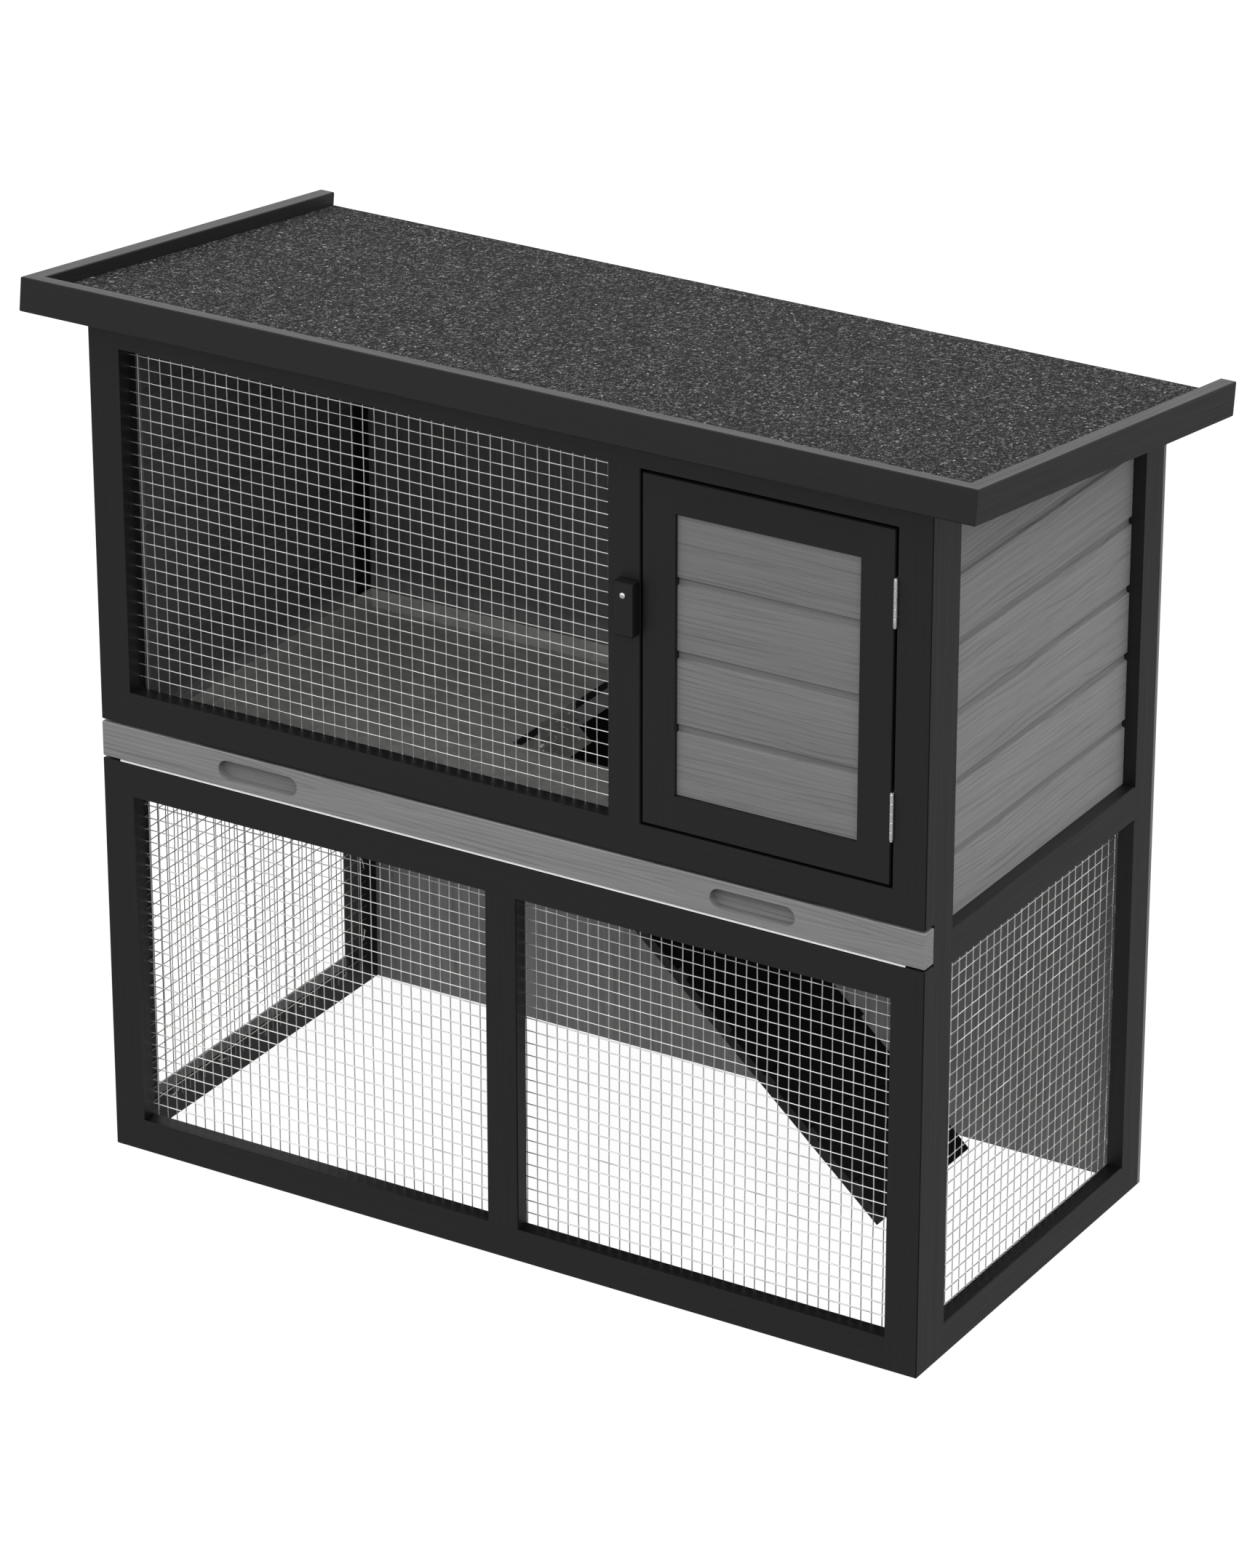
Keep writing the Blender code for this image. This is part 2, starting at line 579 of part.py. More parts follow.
def add_door(door, stain, boards):
    """A framed door with a boarded panel; the parent empty is on its hinge axis."""
    x = (DOOR_X[0] - DOOR_AXIS[0], DOOR_X[1] - DOOR_AXIS[0])
    y = (FRONT - DOOR_AXIS[1], FRAME_BACK - DOOR_AXIS[1])
    inner = (x[0] + STOCK_WIDTH + GAP, x[1] - STOCK_WIDTH - GAP)
    panel_z = (DOOR_Z[0] + STOCK_WIDTH + GAP, DOOR_Z[1] - STOCK_WIDTH - GAP)
    left = (x[0], x[0] + STOCK_WIDTH)
    right = (x[1] - STOCK_WIDTH, x[1])
    bar("door_stile_latch_side", left, y, DOOR_Z, stain, door, joined=((0, 1),))
    bar("door_stile_hinge_side", right, y, DOOR_Z, stain, door, joined=((0, 0),))
    low = (DOOR_Z[0], DOOR_Z[0] + STOCK_WIDTH)
    high = (DOOR_Z[1] - STOCK_WIDTH, DOOR_Z[1])
    bar("door_bottom_rail", inner, y, low, stain, door, joined=X_ENDS)
    bar("door_top_rail", inner, y, high, stain, door, joined=X_ENDS)
    face = y[0] + DOOR_PANEL_RECESS
    outline = grooved_outline(face, face + DOOR_PANEL_THICK, panel_z[0], panel_z[1],
                              DOOR_FIRST_GROOVE, DOOR_PITCH, DOOR_GROOVES)
    add_object("door_panel", prism_mesh(outline, 0, inner), boards, door)


def add_latch(latch, stain, steel):
    """A turn button that hangs open at rest, and the screw that it turns on."""
    half = LATCH_WIDTH / 2
    body = box_mesh((-half, half), (-LATCH_THICK, 0.0), (LATCH_END - LATCH_LENGTH, LATCH_END))
    soften(body, LATCH_EDGE)
    button = add_object("door_turn_button", body, stain, latch)
    hole = circle_points((0, 0), SCREW_RADIUS + GAP, 16)
    cutter = add_object("turn_button_hole", prism_mesh(hole, 1, (-2 * LATCH_THICK, LATCH_THICK)),
                        None, latch)
    combine(button, cutter, "DIFFERENCE")
    seat = LATCH_THICK + GAP
    head = SCREW_HEAD_RADIUS
    crown = seat + SCREW_HEAD_HEIGHT
    profile = [(0, GAP / 2), (SCREW_RADIUS, GAP / 2), (SCREW_RADIUS, seat), (head, seat),
               (head * 0.94, seat + SCREW_HEAD_RIM), (head * 0.7, crown - SCREW_HEAD_DOME), (0, crown)]
    screw = add_object("turn_button_screw", lathe_mesh(profile, 16), steel)
    screw.location = (LATCH_PIVOT[0], FRONT - SCREW_START, LATCH_PIVOT[1])
    screw.rotation_euler = (math.pi / 2, 0, 0)


def add_tray(tray, boards, galvanised):
    """The front board with two finger slots, and the steel pan with the ramp's hatch."""
    front = 0.0
    behind = STOCK_THICK
    board = bar("tray_front_board", (-SIDE, SIDE), (front, behind), TRAY_BOARD, boards, tray)
    middle = sum(TRAY_BOARD) / 2
    radius = SLOT_HEIGHT / 2
    straight = SLOT_LENGTH / 2 - radius
    for side, sign in (("left", -1), ("right", 1)):
        outline = circle_points((sign * SLOT_X + straight, middle), radius, 10, -math.pi / 2, math.pi)
        outline += circle_points((sign * SLOT_X - straight, middle), radius, 10, math.pi / 2, math.pi)
        cutter = prism_mesh(outline, 1, (front - SLOT_DEPTH, front + SLOT_DEPTH))
        combine(board, add_object("slot_tool_" + side, cutter, None, tray), "DIFFERENCE")
    half = PAN_WIDTH / 2
    rear = BODY_DEPTH - BACK_PANEL_THICK - PAN_REAR_SPACE
    inner = half - PAN_SHEET
    floor = PAN_BOTTOM + PAN_SHEET
    clear = PAN_RIM_TOP + STOCK_THICK
    pan = add_object("tray_pan", box_mesh((-half, half), (front + GAP, rear), (PAN_BOTTOM, PAN_RIM_TOP)),
                     galvanised, tray)
    pocket = box_mesh((-inner, inner), (-STOCK_THICK, rear - PAN_SHEET), (floor, clear))
    combine(pan, add_object("pan_pocket_tool", pocket, None, tray), "DIFFERENCE")
    under_board = box_mesh((-SIDE, SIDE), (-STOCK_THICK, behind + GAP), (floor, clear))
    combine(pan, add_object("pan_front_tool", under_board, None, tray), "DIFFERENCE")
    hatch = box_mesh(HATCH_X, HATCH_Y, (PAN_BOTTOM - STOCK_THICK, clear))
    combine(pan, add_object("pan_hatch_tool", hatch, None, tray), "DIFFERENCE")


def add_tray_supports(stain):
    """A runner along each side, and the cross bar that the ramp hangs from."""
    outer = SIDE_INNER - 2 * GAP - MESH_WIRE
    top = (RUNNER_BOTTOM, LOWER_HEIGHT)
    run = (MESH_BACK + GAP, PANEL_FRONT - GAP)
    bar("tray_runner_left", (-outer, -outer + RUNNER_WIDTH), run, top, stain)
    bar("tray_runner_right", (outer - RUNNER_WIDTH, outer), run, top, stain)
    face = RAMP_AXIS[0] - AXIS_STANDOFF
    bar("ramp_support_bar", (face - STOCK_WIDTH, face), (FRAME_BACK + GAP, PANEL_FRONT - GAP), top, stain)


def add_ramp(ramp, stain, steel):
    """A cleated board and its hinge. X runs down the ramp, and Z away from its face."""
    face = -AXIS_STANDOFF
    underside = face - RAMP_THICK
    end = (RAMP_AXIS[1] + underside * math.cos(RAMP_ANGLE) - GAP) / math.sin(RAMP_ANGLE)
    outline = [(RAMP_START, underside), (RAMP_START, face)]
    cleats = int((end - RAMP_START) / CLEAT_PITCH)
    for i in range(cleats):
        left = FIRST_CLEAT + i * CLEAT_PITCH
        right = left + CLEAT_WIDTH
        outline += [(left, face), (left + CLEAT_SLANT, face + CLEAT_HEIGHT),
                    (right - CLEAT_SLANT, face + CLEAT_HEIGHT), (right, face)]
    outline += [(end, face), (end, underside)]
    width = RAMP_Y[1] - RAMP_Y[0]
    add_object("ramp_board", prism_mesh(outline, 1, (-width / 2, width / 2)), stain, ramp)
    leaf = frame_empty("ramp_leaf_frame", (0, 0, 0), (0, 1, 0), (1, 0, 0), ramp)
    offset = AXIS_STANDOFF - GAP - LEAF_THICK / 2
    add_leaf("ramp_hinge_ramp_leaf", leaf, steel, RAMP_HINGE_LENGTH, RAMP_LEAF_WIDTH, offset,
             LARGE_BARREL, 3, 1)
    fixed = frame_empty("ramp_bar_frame", ramp.location, (0, -1, 0), (0, 0, 1))
    add_leaf("ramp_hinge_bar_leaf", fixed, steel, RAMP_HINGE_LENGTH, RAMP_LEAF_WIDTH, offset,
             LARGE_BARREL, 3, 0, pinned=True)


def build():
    for obj in list(bpy.data.objects):
        bpy.data.objects.remove(obj, do_unlink=True)
    stain = make_material("black_stain", (0.022, 0.022, 0.023), 0.55)
    boards = make_material("grey_stain", (0.19, 0.19, 0.185), 0.65)
    felt = make_material("roofing_felt", (0.06, 0.06, 0.06), 0.95)
    galvanised = make_material("galvanised_steel", (0.62, 0.63, 0.63), 0.4, 0.9)
    steel = make_material("zinc_steel", (0.55, 0.55, 0.55), 0.35, 1.0)
    add_frame_front(stain)
    add_side("left", -1, stain, boards)
    add_side("right", 1, stain, boards)
    add_meshes(galvanised)
    add_back(stain, boards)
    add_divider(boards)
    roof = add_empty("roof_axis", (0, ROOF_AXIS_Y, ROOF_AXIS_Z), (-ROOF_SLOPE, 0, 0))
    add_roof(roof, stain, boards, felt)
    add_roof_hinges(roof, steel)
    door = add_empty("door_axis", (*DOOR_AXIS, 0))
    add_door(door, stain, boards)
    add_door_hinges(door, steel)
    latch = add_empty("latch_axis", (LATCH_PIVOT[0], FRONT - 2 * GAP, LATCH_PIVOT[1]))
    add_latch(latch, stain, steel)
    tray = add_empty("tray_origin", (0, FRONT, 0))
    add_tray(tray, boards, galvanised)
    add_tray_supports(stain)
    middle = FRONT + sum(RAMP_Y) / 2
    ramp = add_empty("ramp_axis", (RAMP_AXIS[0], middle, RAMP_AXIS[1]), (0, RAMP_ANGLE, 0))
    add_ramp(ramp, stain, steel)


build()
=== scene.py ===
"""Studio scene of the two-storey rabbit hutch.

The CAD bars keep their shapes, in stained wood, with butt ends drawn out to close the fit gaps.
Fine netting, shiplap boards, felt, hinges, screws and staples stand in for, or are added to, their
plain CAD solids. Metres throughout.
"""
import json
import math
import random
from collections import namedtuple

import bmesh
import bpy
from mathutils import Matrix, Vector, noise


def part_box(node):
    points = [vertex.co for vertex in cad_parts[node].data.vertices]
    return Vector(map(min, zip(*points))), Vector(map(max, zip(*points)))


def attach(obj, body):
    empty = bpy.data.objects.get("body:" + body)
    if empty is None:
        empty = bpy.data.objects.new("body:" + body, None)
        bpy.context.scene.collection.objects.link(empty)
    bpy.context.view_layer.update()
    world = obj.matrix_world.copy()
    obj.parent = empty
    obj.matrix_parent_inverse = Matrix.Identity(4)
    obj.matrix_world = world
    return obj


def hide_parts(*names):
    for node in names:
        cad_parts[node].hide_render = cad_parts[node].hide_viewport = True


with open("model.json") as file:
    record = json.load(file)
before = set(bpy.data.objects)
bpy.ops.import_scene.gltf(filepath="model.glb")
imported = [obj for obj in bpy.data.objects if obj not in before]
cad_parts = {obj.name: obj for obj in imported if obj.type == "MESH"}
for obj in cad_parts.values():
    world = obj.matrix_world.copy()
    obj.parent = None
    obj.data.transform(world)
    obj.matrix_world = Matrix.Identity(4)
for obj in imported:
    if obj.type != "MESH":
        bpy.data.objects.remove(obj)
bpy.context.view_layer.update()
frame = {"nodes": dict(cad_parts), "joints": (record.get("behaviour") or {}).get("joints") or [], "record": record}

NODES = frame["nodes"]
JOINTS = {joint["name"]: joint for joint in frame["joints"]}

# The front plane is read from the frame; the slopes, grooves and fit gap repeat the CAD's values.
# Grooves are the first groove's middle height, their pitch and their number.
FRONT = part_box("upper_front_bottom_rail")[0].y
ROOF_SLOPE = math.radians(7.563)
RAMP_ANGLE = math.radians(42.15)
SIDE_GROOVES = (0.4543, 0.0621, 5)
DOOR_GROOVES = (0.5385, 0.065, 3)
GROOVE_HEIGHT = 0.008
GROOVE_DEPTH = 0.0028
GAP = 0.0003

# Camera
AZIMUTH = math.radians(31.2713)
ELEVATION = math.radians(24.7327)
CAMERA_PLACE = (2.69473, -4.43236, 2.75890)
LENS = 152.07
SENSOR = 36.0

# Light: a white room that is dimmer below the horizon; HORIZON is where the change starts and ends
SKY = 1.45
GROUND = 0.36
HORIZON = (-0.08, 0.34)
FLOOR_SIZE = 60.0
FLOOR_DROP = 0.0004
FLOOR_GLOW = 0.96
FLOOR_COLOUR = 0.05
FLOOR_ROUGHNESS = 0.9

# Ends that close against their neighbours: node, body, axis, ends, reach of the end's points
FRONT_RAILS = ("lower_front_bottom_rail", "lower_front_top_rail", "upper_front_bottom_rail",
               "upper_front_top_rail")
BOTH = ("lower", "upper")
FLAT = 0.0001
MITRED = 0.02
BUTT_ENDS = [(name, "body", 0, BOTH, FLAT) for name in FRONT_RAILS]
BUTT_ENDS += [(name, "door", 0, BOTH, FLAT) for name in ("door_bottom_rail", "door_top_rail")]
BUTT_ENDS += [(name, "body", 2, BOTH, FLAT) for name in (
    "lower_front_centre_stile", "upper_front_centre_stile")]
for side_name in ("left", "right"):
    BUTT_ENDS += [(name + side_name, "body", 1, BOTH, FLAT) for name in (
        "side_bottom_rail_", "side_middle_rail_", "side_top_rail_")]
    BUTT_ENDS += [("side_front_stile_" + side_name, "body", 1, ("lower",), FLAT),
                  ("side_rear_stile_" + side_name, "body", 1, ("upper",), FLAT)]
BUTT_ENDS += [("roof_front_rail", "roof", 0, BOTH, MITRED)]
JOINT_CLOSE = GAP * 0.95

# Heights of the upper room's floor and the run's ceiling, and how gently each painted shade ends there
ROOM_FLOOR = 0.40
ROOM_FADE = 0.02
RUN_TOP = 0.37
RUN_FADE = 0.06

# Painted shade in the tray board's finger slots: heights, how light their bottom and top are, how far out
# they lie, and the depths over which the painted shade grows
SLOT_HEIGHTS = (0.3880, 0.4035)
SLOT_PAINTED_SHADE = (0.92, 0.58)
SLOT_REACH = (0.30, 0.31)
SLOT_DEPTHS = (0.0008, 0.0030)

# Painted shade on the faces that look into the closed upper room: how light they are, and how squarely they look
# inward
INWARD_RANGE = (0.4, 0.6)
BACK_INDOOR_PAINTED_SHADE = 0.55
SIDE_INDOOR_PAINTED_SHADE = 0.45

# The pan's front lip: distance behind the front plane, height, and how far its top leans back
LIP_Y = (0.0001, 0.0012)
LIP_Z = (0.37765, 0.37925)
LIP_LEAN = 0.0003
LIP_BEVEL = 0.0002

# Shiplap boards
BOARD_LAP = 0.003
BOARD_ROUND = 0.0007
GROOVE_SLANT = 0.0012
LAP_GAP = 0.0001

# Felt: how finely it is cut, and how far its face sinks in waves of two sizes
FELT_CUTS = 70
FELT_SINK = 0.00035
FELT_WAVES = ((9.0, 1.0), (31.0, 0.4))

# Netting: facing axis, then start and pitch of the upright and of the level wires
WIRE_RADIUS = 0.0005
WIRE_SIDES = 6
WIRE_STEP = 0.012
WIRE_WANDER = 0.00022
WANDER_LENGTHS = (0.07, 0.19)
WELD_REACH = WIRE_RADIUS * 0.96
BEAD_WIDE = WIRE_RADIUS * 1.5
BEAD_DEEP = WIRE_RADIUS * 0.9
NETS = {
    "upper_front_mesh": (1, (-0.35652, 0.01134), (0.60397, 0.01140)),
    "lower_front_mesh_left": (1, (-0.35178, 0.01000), (0.20457, 0.01170)),
    "lower_front_mesh_right": (1, (0.04547, 0.01027), (0.06410, 0.01170)),
    "side_mesh_left": (0, (-0.13513, 0.01207), (0.06828, 0.01272)),
    "side_mesh_right": (0, (-0.13513, 0.01207), (0.06828, 0.01272)),
}

# Staples
STAPLE_CROWN = 0.0100
STAPLE_WIRE = 0.0005
STAPLE_SIDES = 8
STAPLE_LEG = 0.0026
STAPLE_PITCH = 0.072
STAPLE_INSET = 0.0060
STAPLE_STRAY = 0.006
STAPLE_TILT = 0.3

# Hinges, as in the frame: outer and pin are the radii of barrel and pin; widths and heights are
# those of the fixed leaf and of the moving one, and a height is the leaf's distance from the axis
FIXED = 0
MOVING = 1
Hinge = namedtuple("Hinge", "length outer pin knuckles widths heights")
DOOR_HINGE = Hinge(0.0415, 0.0016, 0.0008, 5, widths=(0.0155, 0.0155), heights=(0.0003, 0.0011))
ROOF_HINGE = Hinge(0.0500, 0.0025, 0.0012, 3, widths=(0.0240, 0.0155), heights=(0.0024, 0.0022))
RAMP_HINGE = Hinge(0.0600, 0.0025, 0.0012, 3, widths=(0.0220, 0.0220), heights=(0.0022, 0.0022))
LEAF_THICK = 0.0008
LEAF_BEVEL = 0.00025
KNUCKLE_GAP = 0.0004
KNUCKLE_EDGE = 0.0003
KNUCKLE_BEVEL = 0.0001
TONGUE_START = 0.0006
BARREL_SIDES = 32
PIN_GAP = 0.0002
PIN_SIDES = 24
PIN_HEAD = 0.88
PIN_RIM = 0.0002
PIN_DOME = 0.0006

# Screws: radius of the head, then places in a leaf's own axes. The roof leaf's two lie between the
# body leaf's three when the roof is open.
SMALL_SCREW = 0.0024
LATCH_SCREW = 0.0026
LATCH_SEAT = 0.0014
ROOF_FIXED_SCREWS = ((-0.017, 0.0165, 0.0019), (0.0, 0.0105, 0.0019), (0.017, 0.0165, 0.0019))
ROOF_MOVING_SCREWS = ((-0.0085, 0.0095, 0.0017), (0.0085, 0.0095, 0.0017))
RAMP_SCREWS = ((-0.02, 0.0125, 0.0018), (0.0, 0.0125, 0.0018), (0.02, 0.0125, 0.0018))

# Softwood rings: how many per metre, how much they ripple, and the darkness across one ring
RING_RATE = 240.0
RING_RIPPLE = 1.9
RING_PROFILE = [(0.0, 0.08), (0.50, 0.02), (0.68, 0.30), (0.80, 1.0), (0.90, 0.10)]

# The log that a piece is cut from: a wide piece's rings mirror every LOG_WIDTH, and LOG_TRAVEL is how
# fast the pith drifts along a piece and from piece to piece. Its spread and drift are given for the
# two directions across the grain.
LOG_SEEDS = 61.0
LOG_WIDTH = 0.05
LOG_TRAVEL = (3.4, 7.3)
PITH_SPREAD = (0.020, 0.080)
PITH_DRIFT = (0.012, 0.020)
BOARD_PITH = 0.018

# A grain is a noise's scale along and across the bar. A cut is where it starts and where it ends,
# followed by its two strengths where a name doesn't give them.
RIPPLE_GRAIN = (5.0, 34.0)
PATCH_GRAIN = (5.0, 60.0)
PATCH_CUT = (0.38, 0.60, 0.20, 1.0)
FLAT_RING_CUT = (0.02, 0.35, 0.15, 1.0)
FIBRE_GRAIN = (7.0, 520.0)
FIBRE_CUT = (0.34, 0.66)
PORE_GRAIN = (26.0, 1300.0)
PORE_CUT = (0.66, 0.74)
PORE_DARK = 0.22
STREAK_GRAIN = (9.0, 230.0)
STREAK_CUT = (0.63, 0.72)
STREAK_DARK = 0.16

# How a wooden surface shines: its roughness changes with the fibre and the rings, and its gloss drops on the
# arrises, and on the run's upper faces as painted shade under the upper floor
ROUGH_CUT = (0.3, 0.7)
ROUGH_CHANGE = (0.05, -0.04)
RING_ROUGH = -0.03
ARRIS_RANGE = (0.70, 0.93)
ARRIS_LIGHT = 0.10
ARRIS_GLOSS = 0.15
FACE_GLOSS = 0.50
UPWARD_RANGE = (0.60, 0.90)
RUN_SHADE_GLOSS = 0.36

# Relief of the wood: its depth, and the shares of fibre, rings and pores
GRAIN_DEPTH = 0.0004
GRAIN_SHARES = (0.7, 0.25, 0.4)

# Grooves between boards, with painted shade: where the recess starts, as shares of its height, and how
# light the painted shade leaves its top and its bottom
GROOVE_EDGE = (0.42, 0.52)
SIDE_GROOVE_PAINTED_SHADE = (0.78, 0.80)
DOOR_GROOVE_PAINTED_SHADE = (0.80, 0.97)

# Stains: how much the rings and the fibre darken them, their roughness and relief, and how much
# one bar's tone differs from the next
BLACK = (0.0055, 0.0055, 0.0060)
BLACK_STAIN = {"figure": 0.25, "fibre_depth": 0.22, "roughness": 0.44, "relief": 0.16, "spread": 0.06}
GREY_STAIN = {"figure": 0.33, "fibre_depth": 0.085, "roughness": 0.62, "relief": 0.18, "spread": 0.035}
GREY = 0.240
BACK_GREY = 0.185
DOOR_GREY = 0.198

# Felt fibres: scale, half width, shift of the noise, brightness. The fibres are drawn out a little
# and broken where a second noise is low.
FELT_LAYERS = ((270.0, 0.038, 0.0, 0.22), (400.0, 0.048, 3.1, 0.16), (580.0, 0.070, 7.7, 0.08))
FELT_DRAWN = (1.0, 0.65, 1.0)
FELT_BREAKS = (0.50, 0.58)

# Felt noises: scale, then where the noise starts and ends and its two strengths
GRIT_SCALE = 1100.0
GRIT_LEVEL = (0.35, 0.65, 0.001, 0.009)
CLUMP_SCALE = 70.0
CLUMP_LEVEL = (0.35, 0.65, 0.75, 1.20)
DRIFT_SCALE = 16.0
DRIFT_LEVEL = (0.3, 0.7, 0.93, 1.07)

# Felt flakes, their brightness a painted glint: scale, how few are bright, their soft edge and their brightness
FLAKE_SCALE = 330.0
FLAKE_CHANCE = (0.975, 0.985)
FLAKE_EDGE = (0.18, 0.38)
FLAKE_GLINT = 0.55

# Felt surface: roughness by how much fibre there is, gloss, and relief of fibre and grit
FELT_ROUGH = (0.0, 0.2, 0.95, 0.70)
FELT_GLOSS = 0.20
FELT_SHARES = (4.0, 0.5)
FELT_RELIEF = 0.5
FELT_DEPTH = 0.0006

# Zinc: how much the crystals and the clouds change its tone and roughness, scratches and relief
CLOUD_SCALE = 60.0
CLOUD_LEVEL = (0.3, 0.7, 0.93, 1.05)
CLOUD_ROUGH = (0.3, 0.7, 0.04, -0.02)
CRYSTAL_LEVEL = (0.90, 1.06)
CRYSTAL_ROUGH = (-0.05, 0.06)
SCRATCH_SCALE = (900.0, 2200.0, 900.0)
ZINC_SHARES = (0.7, 0.3)
ZINC_RELIEF = 0.20
ZINC_DEPTH = 0.0003

# The lip's white: scale of its clouds along and across it, their levels, and its roughness
LIP_CLOUDS = (40.0, 300.0, 300.0)
LIP_LEVEL = (0.3, 0.7, 0.95, 0.99)
LIP_ROUGH = 0.35

# Tints over a grey level
FELT_TINT = (1.0, 0.99, 1.0)
ZINC_TINT = (1.0, 1.0, 0.975)
LIP_TINT = (1.0, 1.0, 0.99)


# ---------------------------------------------------------------- shader helpers

def new_material(name):
    material = bpy.data.materials.new(name)
    material.use_nodes = True
    return material, material.node_tree, material.node_tree.nodes["Principled BSDF"]


def node(tree, kind, inputs=None, **settings):
    """Add a shader node; an input is a socket to link or a constant."""
    made = tree.nodes.new(kind)
    for key, value in settings.items():
        setattr(made, key, value)
    for key, value in (inputs or {}).items():
        if isinstance(value, bpy.types.NodeSocket):
            tree.links.new(value, made.inputs[key])
        else:
            made.inputs[key].default_value = value
    return made


def maths(tree, operation, *values):
    made = node(tree, "ShaderNodeMath", dict(enumerate(values)), operation=operation)
    return made.outputs[0]


def folded(tree, operation, values):
    """Join two or more values by one operation, left to right."""
    result = values[0]
    for value in values[1:]:
        result = maths(tree, operation, result, value)
    return result


def plus(tree, *values):
    return folded(tree, "ADD", values)


def times(tree, *values):
    return folded(tree, "MULTIPLY", values)


def minus(tree, value, other):
    return maths(tree, "SUBTRACT", value, other)


def over(tree, value, other):
    return maths(tree, "DIVIDE", value, other)


def dimmed(tree, mask, amount):
    """1 where the mask is 0, and less by the amount where it is 1."""
    return minus(tree, 1.0, times(tree, mask, amount))


def remap(tree, value, low, high, to_low=0.0, to_high=1.0, kind="SMOOTHSTEP"):
    inputs = {"Value": value, "From Min": low, "From Max": high, "To Min": to_low, "To Max": to_high}
    return node(tree, "ShaderNodeMapRange", inputs, interpolation_type=kind).outputs[0]


def blend(tree, amount, start, end):
    """Go evenly from start to end as the amount goes from 0 to 1."""
    return remap(tree, amount, 0.0, 1.0, start, end, "LINEAR")


def ramp(tree, value, stops):
    """A colour ramp through (position, brightness) stops."""
    made = node(tree, "ShaderNodeValToRGB", {"Fac": value})
    elements = made.color_ramp.elements
    while len(elements) < len(stops):
        elements.new(0.5)
    for element, (position, level) in zip(elements, stops):
        element.position = position
        element.color = (level, level, level, 1.0)
    return made.outputs[0]


def sides_of(tree, vector):
    return node(tree, "ShaderNodeSeparateXYZ", {"Vector": vector}).outputs


def channels_of(tree, colour):
    return node(tree, "ShaderNodeSeparateColor", {"Color": colour}).outputs


def surface_normal(tree):
    return node(tree, "ShaderNodeTexCoord").outputs["Normal"]


def object_place(tree, turn=(0.0, 0.0, 0.0)):
    """The point's place in the row frame at rest, turned to follow a sloping piece."""
    place = node(tree, "ShaderNodeTexCoord").outputs["Object"]
    return node(tree, "ShaderNodeMapping", {"Vector": place, "Rotation": turn}).outputs[0]


def stretched(tree, place, scale):
    return node(tree, "ShaderNodeMapping", {"Vector": place, "Scale": scale}).outputs[0]


def stretched_noise(tree, place, scale, detail=3.0):
    made = node(tree, "ShaderNodeTexNoise", {
        "Vector": stretched(tree, place, scale), "Scale": 1.0, "Detail": detail, "Roughness": 0.55})
    return made.outputs["Fac"]


def even_noise(tree, place, scale, detail=3.0):
    return stretched_noise(tree, place, (scale, scale, scale), detail)


def grain_noise(tree, place, axis, grain, detail):
    """A noise drawn out along one axis; grain is its scale along and across it."""
    along, across = grain
    return stretched_noise(tree, place, tuple(along if i == axis else across for i in range(3)), detail)


def cells_of(tree, place, scale):
    """Crystals or flakes: a Voronoi pattern with its own scale."""
    return node(tree, "ShaderNodeTexVoronoi", {
        "Vector": stretched(tree, place, (scale, scale, scale)), "Scale": 1.0})


def paint(tree, shader, tint, level):
    """Set the base colour to a tint at a grey level."""
    made = node(tree, "ShaderNodeVectorMath", {0: tint, "Scale": level}, operation="SCALE")
    tree.links.new(made.outputs[0], shader.inputs["Base Color"])


def emboss(tree, shader, height, strength, distance):
    bump = node(tree, "ShaderNodeBump", {"Height": height, "Strength": strength, "Distance": distance})
    tree.links.new(bump.outputs[0], shader.inputs["Normal"])


# ---------------------------------------------------------------- wood

def painted_groove_shade(tree, height, boards):
    """Painted shade in the recess between two boards: how light it is, from its bottom to its top; 1 elsewhere."""
    first, pitch, lit_top, lit_bottom = boards
    half = GROOVE_HEIGHT / 2
    joint = plus(tree, over(tree, minus(tree, height, first), pitch), 0.5)
    rise = times(tree, minus(tree, maths(tree, "FRACT", joint), 0.5), pitch)
    edge = [GROOVE_HEIGHT * share for share in GROOVE_EDGE]
    inside = remap(tree, maths(tree, "ABSOLUTE", rise), *edge, 1.0, 0.0)
    tone = remap(tree, rise, -half, half, lit_bottom, lit_top)
    return plus(tree, 1.0, times(tree, inside, minus(tree, tone, 1.0)))


